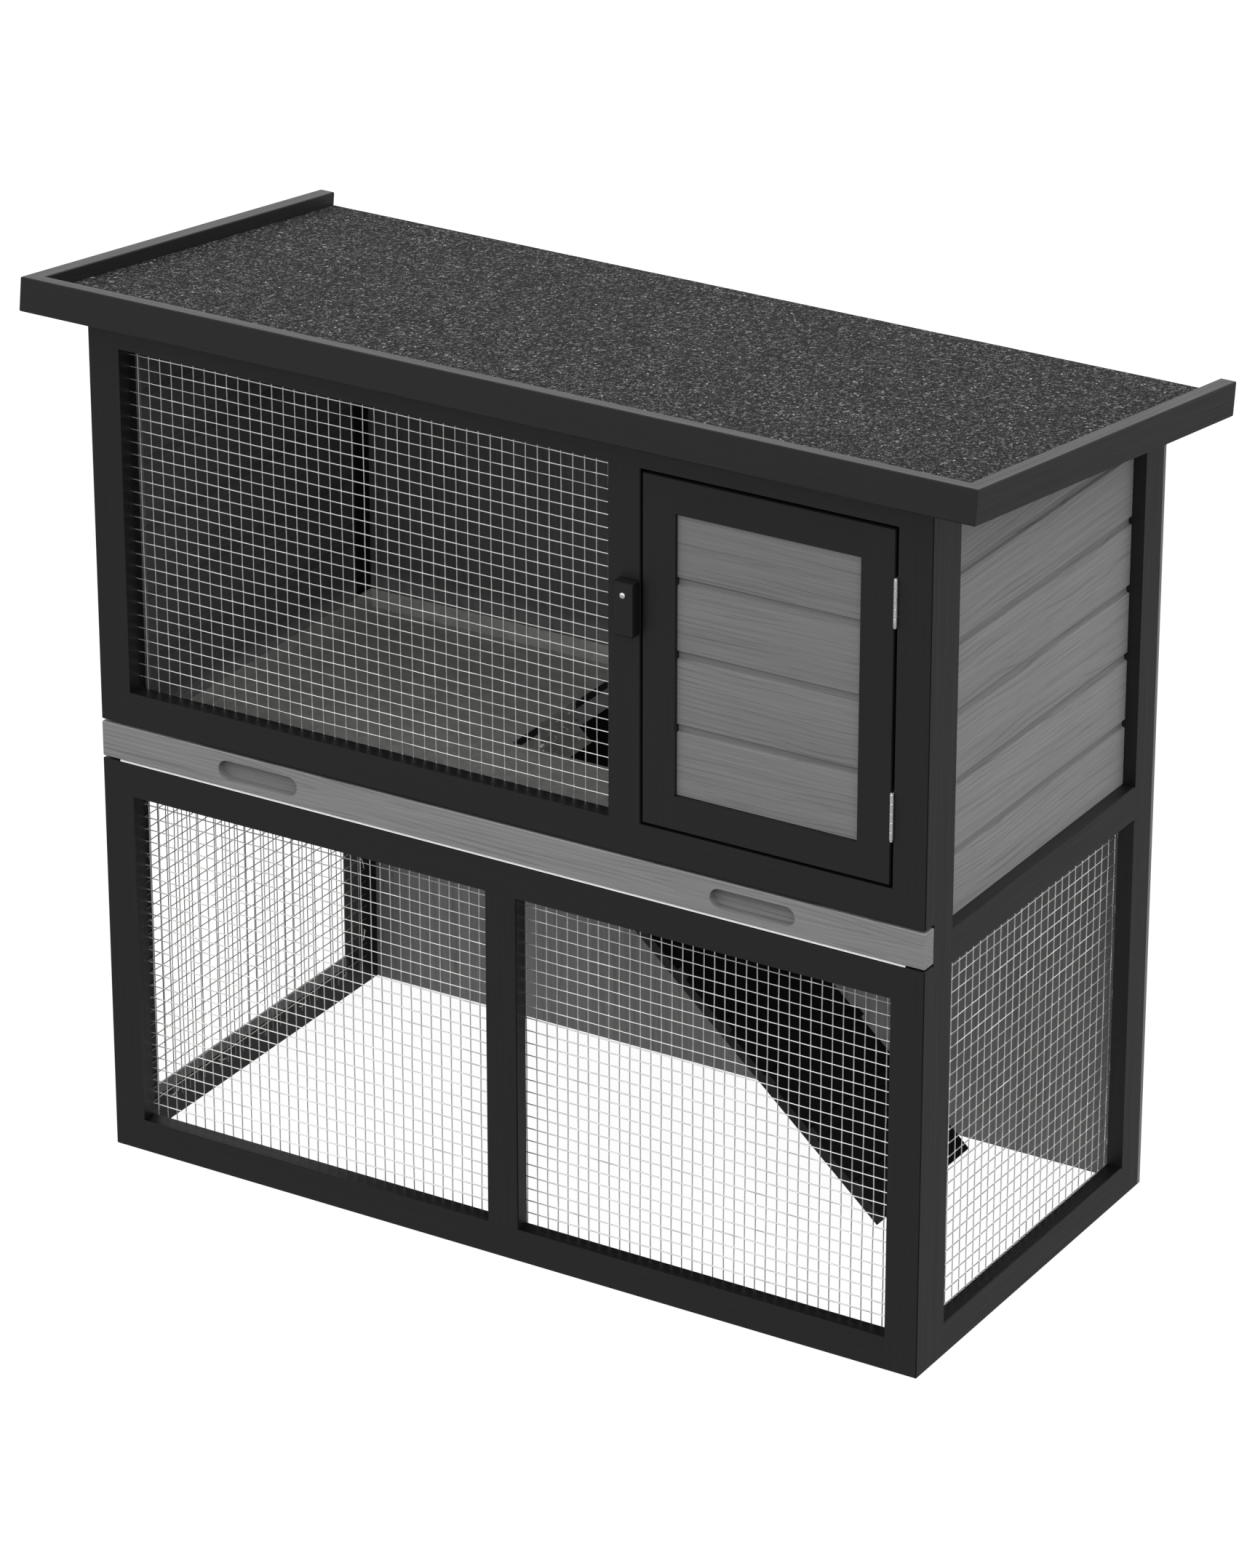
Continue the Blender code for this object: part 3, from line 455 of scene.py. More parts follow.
def wood_pattern(tree, axis, turn, boards):
    """Growth rings, fibre and pores of sawn softwood; one random log per bar or board.

    Returns the ring lines, the fibre, the pores and a tone for the whole board.
    """
    place = object_place(tree, turn)
    parts = sides_of(tree, place)
    across = [i for i in range(3) if i != axis]
    seed = times(tree, node(tree, "ShaderNodeObjectInfo").outputs["Random"], LOG_SEEDS)
    if boards:
        first, pitch = boards[:2]
        number = maths(tree, "FLOOR", over(tree, minus(tree, parts[2], first), pitch))
        seed = plus(tree, seed, number)
    log = node(tree, "ShaderNodeTexWhiteNoise", {"W": seed}, noise_dimensions="1D")
    chances = channels_of(tree, log.outputs["Color"])
    travel = plus(tree, times(tree, parts[axis], LOG_TRAVEL[0]), times(tree, seed, LOG_TRAVEL[1]))
    wander = node(tree, "ShaderNodeTexNoise", {"W": travel, "Scale": 1.0, "Detail": 2.0},
                  noise_dimensions="1D").outputs["Color"]
    wanders = channels_of(tree, wander)
    # a board's pith lies a little below its face; every pith drifts along its piece
    squares = []
    for i in range(2):
        middle = times(tree, minus(tree, chances[i], 0.5), PITH_SPREAD[i])
        bend = times(tree, minus(tree, wanders[i], 0.5), PITH_DRIFT[i])
        if not boards:
            own = maths(tree, "PINGPONG", parts[across[i]], LOG_WIDTH)
        elif i == 0:
            own = BOARD_PITH
        else:
            own = minus(tree, parts[2], plus(tree, times(tree, number, pitch), first + pitch / 2))
        away = plus(tree, minus(tree, own, middle), bend)
        squares.append(times(tree, away, away))
    spread = plus(tree, squares[0], squares[1])
    ripple = grain_noise(tree, place, axis, RIPPLE_GRAIN, 2.0)
    rings = plus(tree, times(tree, maths(tree, "SQRT", spread), RING_RATE), times(tree, ripple, RING_RIPPLE))
    lines = ramp(tree, maths(tree, "FRACT", rings), RING_PROFILE)
    patches = remap(tree, grain_noise(tree, place, axis, PATCH_GRAIN, 1.0), *PATCH_CUT)
    # on a level piece, rings that lie flat in the face leave little of a line
    crossing = remap(tree, over(tree, squares[1], spread), *FLAT_RING_CUT)
    lines = times(tree, lines, patches, crossing)
    fibre = grain_noise(tree, place, axis, FIBRE_GRAIN, 3.0)
    pores = remap(tree, grain_noise(tree, place, axis, PORE_GRAIN, 1.0), *PORE_CUT)
    return lines, fibre, pores, chances[2]


def painted_indoor_shade(axis, sign, tone):
    """Painted shade: darkens the faces that look into the closed upper room."""
    def shade(tree):
        facing = sides_of(tree, surface_normal(tree))[axis]
        inward = remap(tree, times(tree, facing, sign), *INWARD_RANGE)
        height = sides_of(tree, object_place(tree))[2]
        inward = times(tree, inward, remap(tree, height, ROOM_FLOOR, ROOM_FLOOR + ROOM_FADE))
        return blend(tree, inward, 1.0, tone)
    return shade


def painted_slot_shade(tree):
    """Painted shade: darkens the finger slots behind the board's face, most of all under their upper edge."""
    place = sides_of(tree, object_place(tree))
    behind = remap(tree, minus(tree, place[1], FRONT), *SLOT_DEPTHS)
    within = remap(tree, maths(tree, "ABSOLUTE", place[0]), *SLOT_REACH, 1.0, 0.0)
    tone = remap(tree, place[2], *SLOT_HEIGHTS, 1.0 - SLOT_PAINTED_SHADE[0], 1.0 - SLOT_PAINTED_SHADE[1])
    return dimmed(tree, times(tree, behind, within), tone)


def wood_material(name, colour, axis, figure, fibre_depth, roughness, relief, spread,
                  turn=(0.0, 0.0, 0.0), boards=None, shading=None):
    """Stained softwood; boards adds the joints between boards with painted shade in their grooves, and shading is
    one more painted shade.
    """
    material, tree, shader = new_material(name)
    place = object_place(tree, turn)
    lines, fibre, pores, tone = wood_pattern(tree, axis, turn, boards)
    factors = [dimmed(tree, lines, figure)]
    # painted shade in the grooves between boards
    if boards:
        factors.append(painted_groove_shade(tree, sides_of(tree, place)[2], boards))
    # painted shade of the upper room or of the finger slots
    if shading:
        factors.append(shading(tree))
    # a few long dark streaks
    streaks = remap(tree, grain_noise(tree, place, axis, STREAK_GRAIN, 2.0), *STREAK_CUT)
    factors.append(dimmed(tree, streaks, STREAK_DARK))
    factors.append(remap(tree, fibre, *FIBRE_CUT, 1.0 - fibre_depth, 1.0 + fibre_depth))
    factors.append(dimmed(tree, pores, PORE_DARK))
    factors.append(blend(tree, tone, 1.0 - spread, 1.0 + spread))
    # the arrises are a little lighter: a painted highlight on the rounded edges
    facing = node(tree, "ShaderNodeVectorMath", {0: surface_normal(tree)}, operation="ABSOLUTE").outputs[0]
    sides = sides_of(tree, facing)
    flat = maths(tree, "MAXIMUM", maths(tree, "MAXIMUM", sides[0], sides[1]), sides[2])
    arris = remap(tree, flat, *ARRIS_RANGE, 1.0, 0.0)
    factors.append(plus(tree, 1.0, times(tree, arris, ARRIS_LIGHT)))
    paint(tree, shader, colour, times(tree, *factors))
    rough = remap(tree, fibre, *ROUGH_CUT, *[roughness + change for change in ROUGH_CHANGE])
    tree.links.new(plus(tree, rough, times(tree, lines, RING_ROUGH)), shader.inputs["Roughness"])
    # the arrises are duller, and the run's upper faces are duller as painted shade: less sky reflected under the
    # upper floor
    gloss = remap(tree, flat, *ARRIS_RANGE, ARRIS_GLOSS, FACE_GLOSS)
    height = sides_of(tree, object_place(tree))[2]
    run_shade = times(tree, remap(tree, height, RUN_TOP - RUN_FADE, RUN_TOP, 1.0, 0.0),
                 remap(tree, sides[2], *UPWARD_RANGE))
    gloss = times(tree, gloss, blend(tree, run_shade, 1.0, RUN_SHADE_GLOSS))
    tree.links.new(gloss, shader.inputs["Specular IOR Level"])
    raised = minus(tree, times(tree, fibre, GRAIN_SHARES[0]), times(tree, lines, GRAIN_SHARES[1]))
    raised = minus(tree, raised, times(tree, pores, GRAIN_SHARES[2]))
    emboss(tree, shader, raised, relief, GRAIN_DEPTH)
    return material


def black_wood(name, axis, turn=(0.0, 0.0, 0.0)):
    return wood_material(name, BLACK, axis, **BLACK_STAIN, turn=turn)


def grey_wood(name, axis, turn=(0.0, 0.0, 0.0), boards=None, tone=GREY, shading=None):
    colour = (tone, tone * 1.003, tone * 1.001)
    return wood_material(name, colour, axis, **GREY_STAIN, turn=turn, boards=boards, shading=shading)


# ---------------------------------------------------------------- felt and metals

def fibres(tree, place, scale, width, shift):
    """Thin winding lines, broken into short lengths: where a noise crosses its middle value."""
    moved = node(tree, "ShaderNodeMapping", {
        "Vector": place, "Location": (shift, shift * 1.7, shift * 0.6)}).outputs[0]
    made = node(tree, "ShaderNodeTexNoise", {
        "Vector": moved, "Scale": scale, "Detail": 1.0, "Roughness": 0.5, "Distortion": 0.6})
    away = maths(tree, "ABSOLUTE", minus(tree, made.outputs["Fac"], 0.5))
    line = remap(tree, away, 0.0, width, 1.0, 0.0)
    breaks = node(tree, "ShaderNodeTexNoise", {
        "Vector": moved, "Scale": scale * 0.9, "Detail": 1.0}).outputs["Fac"]
    return times(tree, line, remap(tree, breaks, *FELT_BREAKS))


def felt_material(turn):
    """Mineral felt: a dark mat of short winding fibres and flakes, some of them bright as painted glints."""
    material, tree, shader = new_material("mineral_felt")
    place = object_place(tree, turn)
    drawn = stretched(tree, place, FELT_DRAWN)
    strands = plus(tree, *[times(tree, fibres(tree, drawn, scale, width, shift), bright)
                           for scale, width, shift, bright in FELT_LAYERS])
    grit = even_noise(tree, place, GRIT_SCALE, 2.0)
    drift = remap(tree, even_noise(tree, place, DRIFT_SCALE), *DRIFT_LEVEL)
    clump = remap(tree, even_noise(tree, place, CLUMP_SCALE), *CLUMP_LEVEL)
    # flakes, a few of them bright: a painted glint
    flakes = cells_of(tree, place, FLAKE_SCALE)
    picked = remap(tree, channels_of(tree, flakes.outputs["Color"])[0], *FLAKE_CHANCE)
    flake = times(tree, remap(tree, flakes.outputs["Distance"], *FLAKE_EDGE, 1.0, 0.0), picked)
    level = plus(tree, times(tree, strands, clump), remap(tree, grit, *GRIT_LEVEL),
                 times(tree, flake, FLAKE_GLINT))
    paint(tree, shader, FELT_TINT, times(tree, level, drift))
    tree.links.new(remap(tree, strands, *FELT_ROUGH), shader.inputs["Roughness"])
    shader.inputs["Specular IOR Level"].default_value = FELT_GLOSS
    height = plus(tree, times(tree, strands, FELT_SHARES[0]), times(tree, grit, FELT_SHARES[1]))
    emboss(tree, shader, height, FELT_RELIEF, FELT_DEPTH)
    return material


def zinc_material(name, tone, roughness, spangle, metallic=0.92):
    """Zinc on steel: spangle is the size of a crystal, and the finish clouds a little."""
    material, tree, shader = new_material(name)
    place = object_place(tree)
    crystal = channels_of(tree, cells_of(tree, place, 1.0 / spangle).outputs["Color"])
    cloud = even_noise(tree, place, CLOUD_SCALE)
    level = times(tree, tone, blend(tree, crystal[0], *CRYSTAL_LEVEL), remap(tree, cloud, *CLOUD_LEVEL))
    paint(tree, shader, ZINC_TINT, level)
    rough = plus(tree, blend(tree, crystal[1], *[roughness + change for change in CRYSTAL_ROUGH]),
                 remap(tree, cloud, *CLOUD_ROUGH))
    tree.links.new(rough, shader.inputs["Roughness"])
    shader.inputs["Metallic"].default_value = metallic
    scratch = stretched_noise(tree, place, SCRATCH_SCALE, 2.0)
    height = plus(tree, times(tree, cloud, ZINC_SHARES[0]), times(tree, scratch, ZINC_SHARES[1]))
    emboss(tree, shader, height, ZINC_RELIEF, ZINC_DEPTH)
    return material


# ---------------------------------------------------------------- mesh helpers

def add_piece(name, bm, material, body, stands_for=(), smooth=None):
    """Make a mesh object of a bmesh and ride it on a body."""
    mesh = bpy.data.meshes.new(name)
    bm.to_mesh(mesh)
    bm.free()
    mesh.materials.append(material)
    if smooth is not None:
        mesh.shade_smooth()
        mesh.set_sharp_from_angle(angle=math.radians(smooth))
    piece = bpy.data.objects.new(name, mesh)
    bpy.context.scene.collection.objects.link(piece)
    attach(piece, body)
    if stands_for:
        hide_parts(*stands_for)
    return piece


def add_tube(bm, points, radius, sides, side_axis):
    """Sweep a ring along nearly straight points; side_axis is square to the run."""
    rings = []
    for i, point in enumerate(points):
        ahead = points[min(i + 1, len(points) - 1)] - points[max(i - 1, 0)]
        forward = ahead.normalized()
        sideways = (side_axis - forward * side_axis.dot(forward)).normalized()
        other = forward.cross(sideways)
        ring = []
        for k in range(sides):
            angle = math.tau * k / sides
            offset = sideways * math.cos(angle) + other * math.sin(angle)
            ring.append(bm.verts.new(point + offset * radius))
        rings.append(ring)
    for low, high in zip(rings, rings[1:]):
        for k in range(sides):
            j = (k + 1) % sides
            bm.faces.new((low[k], low[j], high[j], high[k]))
    bm.faces.new(list(reversed(rings[0])))
    bm.faces.new(rings[-1])


def lathe(bm, profile, sides, closed=False):
    """Turn (radius, height) points about Z; a closed profile makes a ring."""
    rings = []
    for radius, height in profile:
        if radius == 0.0:
            rings.append([bm.verts.new((0.0, 0.0, height))])
            continue
        turn = [math.tau * k / sides for k in range(sides)]
        rings.append([bm.verts.new((radius * math.cos(a), radius * math.sin(a), height)) for a in turn])
    pairs = list(zip(rings, rings[1:]))
    if closed:
        pairs.append((rings[-1], rings[0]))
    for low, high in pairs:
        for k in range(sides):
            j = (k + 1) % sides
            corners = [low[k % len(low)], low[j % len(low)], high[j % len(high)], high[k % len(high)]]
            bm.faces.new(list(dict.fromkeys(corners)))


def add_box(bm, x, y, z, bevel=0.0):
    """Add a box between limits, its edges rounded."""
    made = bmesh.ops.create_cube(bm, size=1.0)["verts"]
    size = Vector((x[1] - x[0], y[1] - y[0], z[1] - z[0]))
    middle = Vector((x[0] + x[1], y[0] + y[1], z[0] + z[1])) / 2
    for vert in made:
        vert.co = Vector(a * b for a, b in zip(vert.co, size)) + middle
    if bevel:
        edges = list({edge for vert in made for edge in vert.link_edges})
        bmesh.ops.bevel(bm, geom=edges, offset=bevel, segments=3, affect="EDGES")


def axes_matrix(origin, x_axis, y_axis):
    x_axis = Vector(x_axis).normalized()
    y_axis = Vector(y_axis).normalized()
    matrix = Matrix((x_axis, y_axis, x_axis.cross(y_axis))).transposed().to_4x4()
    matrix.translation = Vector(origin)
    return matrix


def take_in(bm, piece):
    """Move a second bmesh's geometry into the first."""
    scratch = bpy.data.meshes.new("scratch")
    piece.to_mesh(scratch)
    piece.free()
    bm.from_mesh(scratch)
    bpy.data.meshes.remove(scratch)


def arc(centre, radius, start, turn, steps):
    """Points of an arc, both ends included; angles in degrees."""
    points = []
    for i in range(steps + 1):
        angle = math.radians(start + turn * i / steps)
        points.append((centre[0] + radius * math.cos(angle), centre[1] + radius * math.sin(angle)))
    return points


# ---------------------------------------------------------------- netting

def wire_places(low, high, phase):
    """The wires of one direction that fit between two limits."""
    start, pitch = phase
    first = math.ceil((low - start) / pitch)
    count = int((high - start) / pitch) - first + 1
    return [start + (first + i) * pitch for i in range(count)]


def add_net(name, facing, across_phase, up_phase, material, rng):
    """Welded netting: upright wires behind level wires, with a bead of zinc at each weld."""
    low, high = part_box(name)
    across = 1 - facing
    outward = -1.0 if facing == 1 or name.endswith("left") else 1.0
    middle = (low[facing] + high[facing]) / 2
    margin = WIRE_RADIUS + WIRE_WANDER
    uprights = wire_places(low[across] + margin, high[across] - margin, across_phase)
    levels = wire_places(low.z + margin, high.z - margin, up_phase)
    side_axis = Vector((1.0, 0.0, 0.0)) if facing == 0 else Vector((0.0, 1.0, 0.0))
    bm = bmesh.new()

    def wander():
        size = WIRE_WANDER * rng.uniform(0.4, 1.0)
        length = rng.uniform(*WANDER_LENGTHS)
        phase = rng.uniform(0.0, math.tau)
        return lambda run: size * math.sin(run / length * math.tau + phase)

    upright_wander = [wander() for _ in uprights]
    level_wander = [wander() for _ in levels]
    layers = ((uprights, upright_wander, 2, across, -outward), (levels, level_wander, across, 2, outward))
    for places, bends, run_axis, place_axis, side in layers:
        start, end = low[run_axis], high[run_axis]
        count = max(2, round((end - start) / WIRE_STEP))
        for place, bend in zip(places, bends):
            points = []
            for i in range(count + 1):
                run = start + (end - start) * i / count
                point = Vector()
                point[run_axis] = run
                point[place_axis] = place + bend(run)
                point[facing] = middle + side * WELD_REACH
                points.append(point)
            add_tube(bm, points, WIRE_RADIUS, WIRE_SIDES, side_axis)
    for x, upright_bend in zip(uprights, upright_wander):
        for z, level_bend in zip(levels, level_wander):
            centre = Vector((0.0, 0.0, z + level_bend(x)))
            centre[across] = x + upright_bend(z)
            centre[facing] = middle
            tips = []
            for axis in range(3):
                for sign in (-1.0, 1.0):
                    tip = centre.copy()
                    tip[axis] += sign * (BEAD_DEEP if axis == facing else BEAD_WIDE)
                    tips.append(bm.verts.new(tip))
            for a in (0, 1):
                for b in (2, 3):
                    for c in (4, 5):
                        bm.faces.new((tips[a], tips[b], tips[c]))
    bmesh.ops.recalc_face_normals(bm, faces=bm.faces)
    add_piece(name + "_wires", bm, material, "body", (name,), smooth=60)


def add_staples(name, facing, edges, material, rng):
    """Staples over the netting's border, driven into the frame from inside the hutch."""
    low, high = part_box(name)
    across = 1 - facing
    inward = 1.0 if facing == 1 or name.endswith("left") else -1.0
    surface = high[facing] if inward > 0 else low[facing]
    places = []
    for edge in edges:
        level = edge in ("bottom", "top")
        start, end = (low[across], high[across]) if level else (low.z, high.z)
        count = max(2, round((end - start) / STAPLE_PITCH))
        for i in range(count):
            run = start + (end - start) * (i + 0.5) / count + rng.uniform(-STAPLE_STRAY, STAPLE_STRAY)
            fixed = {"bottom": low.z + STAPLE_INSET, "top": high.z - STAPLE_INSET,
                     "start": low[across] + STAPLE_INSET, "end": high[across] - STAPLE_INSET}[edge]
            places.append((run, fixed, level) if level else (fixed, run, level))
    bm = bmesh.new()
    for run, up, level in places:
        centre = Vector((0.0, 0.0, up))
        centre[across] = run
        centre[facing] = surface
        tilt = rng.uniform(-STAPLE_TILT, STAPLE_TILT) + (0.0 if level else math.pi / 2)
        direction = Vector((0.0, 0.0, math.sin(tilt)))
        direction[across] = math.cos(tilt)
        out = Vector((0.0, 0.0, 0.0))
        out[facing] = inward
        half = direction * STAPLE_CROWN / 2
        turn_in = direction * STAPLE_WIRE * 1.2
        crown = out * STAPLE_WIRE * 0.4
        points = [centre - half - out * STAPLE_LEG, centre - half - out * STAPLE_WIRE,
                  centre - half + turn_in + crown, centre + half - turn_in + crown,
                  centre + half - out * STAPLE_WIRE, centre + half - out * STAPLE_LEG]
        add_tube(bm, points, STAPLE_WIRE, STAPLE_SIDES, direction.cross(out))
    bmesh.ops.recalc_face_normals(bm, faces=bm.faces)
    add_piece(name + "_staples", bm, material, "body", smooth=50)


# ---------------------------------------------------------------- boards

def board_outline(low, high, thick, first, last):
    """A shiplap board as (depth from the face, height), its top lip showing in the groove above."""
    outline = []
    if first:
        outline += [(thick, low), (0.0, low)]
    else:
        lap = low + BOARD_LAP
        outline += [(thick, lap), (GROOVE_DEPTH, lap), (GROOVE_DEPTH, low - GROOVE_SLANT)]
        outline += arc((BOARD_ROUND, low + BOARD_ROUND / 2), BOARD_ROUND, 240, -60, 3)
    if last:
        outline += [(0.0, high), (thick, high)]
        return outline
    lip = high + GROOVE_HEIGHT + BOARD_LAP - LAP_GAP
    outline += arc((BOARD_ROUND, high - BOARD_ROUND / 2), BOARD_ROUND, 180, -60, 3)
    outline += [(GROOVE_DEPTH, high + GROOVE_SLANT), (GROOVE_DEPTH, lip), (thick, lip)]
    return outline


def add_boards(name, axis, outward, body, grooves, material):
    """Separate boards in place of a grooved panel; axis is the way that the boards run."""
    low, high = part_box(name)
    facing = 1 - axis
    thick = high[facing] - low[facing]
    face = high[facing] if outward > 0 else low[facing]
    start, pitch, count = grooves
    tops = {}
    for vert in NODES[name].data.vertices:
        key = round(vert.co[axis], 3)
        tops[key] = max(tops.get(key, 0.0), vert.co.z)
    ends = (low[axis], high[axis])
    end_tops = [tops[min(tops, key=lambda place: abs(place - end))] for end in ends]
    bm = bmesh.new()
    half = GROOVE_HEIGHT / 2
    for number in range(count + 1):
        bottom = low.z if number == 0 else start + (number - 1) * pitch + half
        top = high.z if number == count else start + number * pitch - half
        outline = board_outline(bottom, top, thick, number == 0, number == count)
        rings = []
        for end, end_top in zip(ends, end_tops):
            ring = []
            for depth, height in outline:
                co = [0.0, 0.0, min(height, end_top)]
                co[axis] = end
                co[facing] = face - outward * depth
                ring.append(bm.verts.new(co))
            rings.append(ring)
        for k in range(len(outline)):
            j = (k + 1) % len(outline)
            bm.faces.new((rings[0][k], rings[0][j], rings[1][j], rings[1][k]))
        bm.faces.new(rings[0])
        bm.faces.new(list(reversed(rings[1])))
    bmesh.ops.recalc_face_normals(bm, faces=bm.faces)
    add_piece(name + "_boards", bm, material, body, (name,), smooth=40)


# ---------------------------------------------------------------- felt

def add_felt(material):
    """The felt sheet, cut fine enough to lie slightly unevenly on its deck."""
    bm = bmesh.new()
    bm.from_mesh(NODES["roof_felt"].data)
    bmesh.ops.remove_doubles(bm, verts=bm.verts, dist=1e-6)
    up = Vector((0.0, math.sin(ROOF_SLOPE), math.cos(ROOF_SLOPE)))
    centre = sum((vert.co for vert in bm.verts), Vector()) / len(bm.verts)
    bmesh.ops.dissolve_limit(bm, angle_limit=0.01, verts=bm.verts, edges=bm.edges)
    long_edges = [edge for edge in bm.edges if edge.calc_length() > 0.1]
    bmesh.ops.subdivide_edges(bm, edges=long_edges, cuts=FELT_CUTS, use_grid_fill=True)
    for vert in bm.verts:
        height = (vert.co - centre).dot(up)
        if height > 0:
            wave = sum(size * noise.noise(vert.co * scale) for scale, size in FELT_WAVES)
            vert.co -= up * FELT_SINK * (1.0 + wave) / 2
    bmesh.ops.recalc_face_normals(bm, faces=bm.faces)
    add_piece("roof_felt_sheet", bm, material, "roof", ("roof_felt",), smooth=30)


# ---------------------------------------------------------------- hinges and screws

def add_leaf(name, matrix, hinge, leaf, body, material):
    """A rolled hinge leaf, fixed or moving: its axis runs along X and its plate along +Y."""
    length, outer, pin, knuckles, widths, heights = hinge
    bm = bmesh.new()
    low = heights[leaf] - LEAF_THICK / 2
    high = heights[leaf] + LEAF_THICK / 2
    start = outer + KNUCKLE_GAP
    add_box(bm, (-length / 2, length / 2), (start, widths[leaf]), (low, high), LEAF_BEVEL)
    step = length / knuckles
    inner = pin + PIN_GAP
    edge = KNUCKLE_EDGE
    for i in range(knuckles):
        if i % 2 != leaf:
            continue
        left = -length / 2 + i * step + KNUCKLE_GAP / 2
        right = left + step - KNUCKLE_GAP
        add_box(bm, (left, right), (TONGUE_START, start + KNUCKLE_GAP), (low, high), KNUCKLE_BEVEL)
        roll = bmesh.new()
        lathe(roll, [(inner, left), (outer - edge, left), (outer, left + edge), (outer, right - edge),
                     (outer - edge, right), (inner, right)], BARREL_SIDES, closed=True)
        roll.transform(Matrix.Rotation(math.pi / 2, 4, "Y"))
        take_in(bm, roll)
    bmesh.ops.recalc_face_normals(bm, faces=bm.faces)
    bm.transform(matrix)
    return add_piece(name + "_rolled", bm, material, body, (name,), smooth=35)


def add_pin(name, matrix, hinge, material, stands_for=()):
    """A hinge pin with domed heads, along X, fixed to the body."""
    bm = bmesh.new()
    head = hinge.outer * PIN_HEAD
    seat = hinge.length / 2 + GAP
    rim = seat + PIN_RIM
    dome = [(hinge.pin, seat), (head, seat), (head, rim)]
    dome += [(head * math.cos(a), rim + PIN_DOME * math.sin(a)) for a in (0.4, 0.8, 1.2)]
    dome += [(0.0, rim + PIN_DOME)]
    lathe(bm, [(radius, -height) for radius, height in reversed(dome)] + dome, PIN_SIDES)
    bm.transform(Matrix.Rotation(math.pi / 2, 4, "Y"))
    bmesh.ops.recalc_face_normals(bm, faces=bm.faces)
    bm.transform(matrix)
    return add_piece(name, bm, material, "body", stands_for, smooth=35)


def screw_mesh():
    """A domed screw head of radius 1 on Z, with a cross recess."""
    bm = bmesh.new()
    dome = [(0.0, -0.25), (0.98, -0.25), (1.0, 0.0)]
    dome += [(math.cos(a), 0.45 * math.sin(a)) for a in (0.25, 0.5, 0.75, 1.0, 1.25)]
    dome += [(0.0, 0.45)]
    lathe(bm, dome, 32)
    bmesh.ops.recalc_face_normals(bm, faces=bm.faces)
    head = bpy.data.meshes.new("screw_head")
    bm.to_mesh(head)
    bm.free()
    cutter = bmesh.new()
    for turn in (0.0, math.pi / 2):
        blade = bmesh.new()
        bmesh.ops.create_cone(blade, segments=4, radius1=0.10, radius2=0.62, depth=0.6, cap_ends=True)
        blade.transform(Matrix.Rotation(math.pi / 4, 4, "Z"))
        blade.transform(Matrix.Diagonal((1.0, 0.26, 1.0, 1.0)))
        blade.transform(Matrix.Translation((0.0, 0.0, 0.30)))
        blade.transform(Matrix.Rotation(turn, 4, "Z"))
        take_in(cutter, blade)
    cross = bpy.data.meshes.new("screw_cross")
    cutter.to_mesh(cross)
    cutter.free()
    body = bpy.data.objects.new("screw_tool", head)
    tool = bpy.data.objects.new("cross_tool", cross)
    for obj in (body, tool):
        bpy.context.scene.collection.objects.link(obj)
    cut = body.modifiers.new("recess", "BOOLEAN")
    cut.operation = "DIFFERENCE"
    cut.solver = "EXACT"
    cut.use_self = True
    cut.object = tool
    evaluated = body.evaluated_get(bpy.context.evaluated_depsgraph_get())
    result = bpy.data.meshes.new_from_object(evaluated)
    for obj in (body, tool):
        bpy.data.objects.remove(obj)
    return result


def add_screws(name, places, outward, radius, body, material, head, rng, stands_for=()):
    """Screw heads at their places, facing outward, each turned at random."""
    bm = bmesh.new()
    outward = Vector(outward).normalized()
    for place in places:
        copy = head.copy()
        turn = Matrix.Rotation(rng.uniform(0.0, math.pi), 4, "Z")
        face = outward.to_track_quat("Z", "Y").to_matrix().to_4x4()
        copy.transform(Matrix.Translation(place) @ face @ Matrix.Scale(radius, 4) @ turn)
        bm.from_mesh(copy)
        bpy.data.meshes.remove(copy)
    return add_piece(name, bm, material, body, stands_for, smooth=35)


def add_door_hinges(zinc):
    joint = JOINTS["door_hinge"]["pos_m"]
    for place in ("lower", "upper"):
        low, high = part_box("door_hinge_pin_" + place)
        origin = (joint[0], joint[1], (low.z + high.z) / 2)
        fixed = axes_matrix(origin, (0, 0, -1), (0, 1, 0))
        moving = axes_matrix(origin, (0, 0, 1), (0, 1, 0))
        add_leaf("door_hinge_frame_leaf_" + place, fixed, DOOR_HINGE, FIXED, "body", zinc)
        add_leaf("door_hinge_door_leaf_" + place, moving, DOOR_HINGE, MOVING, "door", zinc)
        name = "door_hinge_pin_" + place
        add_pin(name + "_domed", moving, DOOR_HINGE, zinc, (name,))


def add_roof_hinges(zinc, head, rng):
    joint = JOINTS["roof_hinge"]["pos_m"]
    down_slope = (0.0, math.cos(ROOF_SLOPE), -math.sin(ROOF_SLOPE))
    for side in ("left", "right"):
        low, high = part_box("roof_hinge_body_leaf_" + side)
        x = (low.x + high.x) / 2
        origin = (x, joint[1], joint[2])
        fixed = axes_matrix(origin, (-1, 0, 0), (0, 0, -1))
        moving = axes_matrix(origin, (1, 0, 0), down_slope)
        add_leaf("roof_hinge_body_leaf_" + side, fixed, ROOF_HINGE, FIXED, "body", zinc)
        add_leaf("roof_hinge_roof_leaf_" + side, moving, ROOF_HINGE, MOVING, "roof", zinc)
        add_pin("roof_hinge_pin_" + side, moving, ROOF_HINGE, zinc)
        places = [fixed @ Vector(place) for place in ROOF_FIXED_SCREWS]
        add_screws("roof_hinge_body_screws_" + side, places, (0, 1, 0), SMALL_SCREW, "body", zinc, head, rng)
        places = [moving @ Vector(place) for place in ROOF_MOVING_SCREWS]
        facing = -(moving.to_3x3() @ Vector((0, 0, 1)))
        add_screws("roof_hinge_roof_screws_" + side, places, facing, SMALL_SCREW, "roof", zinc, head, rng)


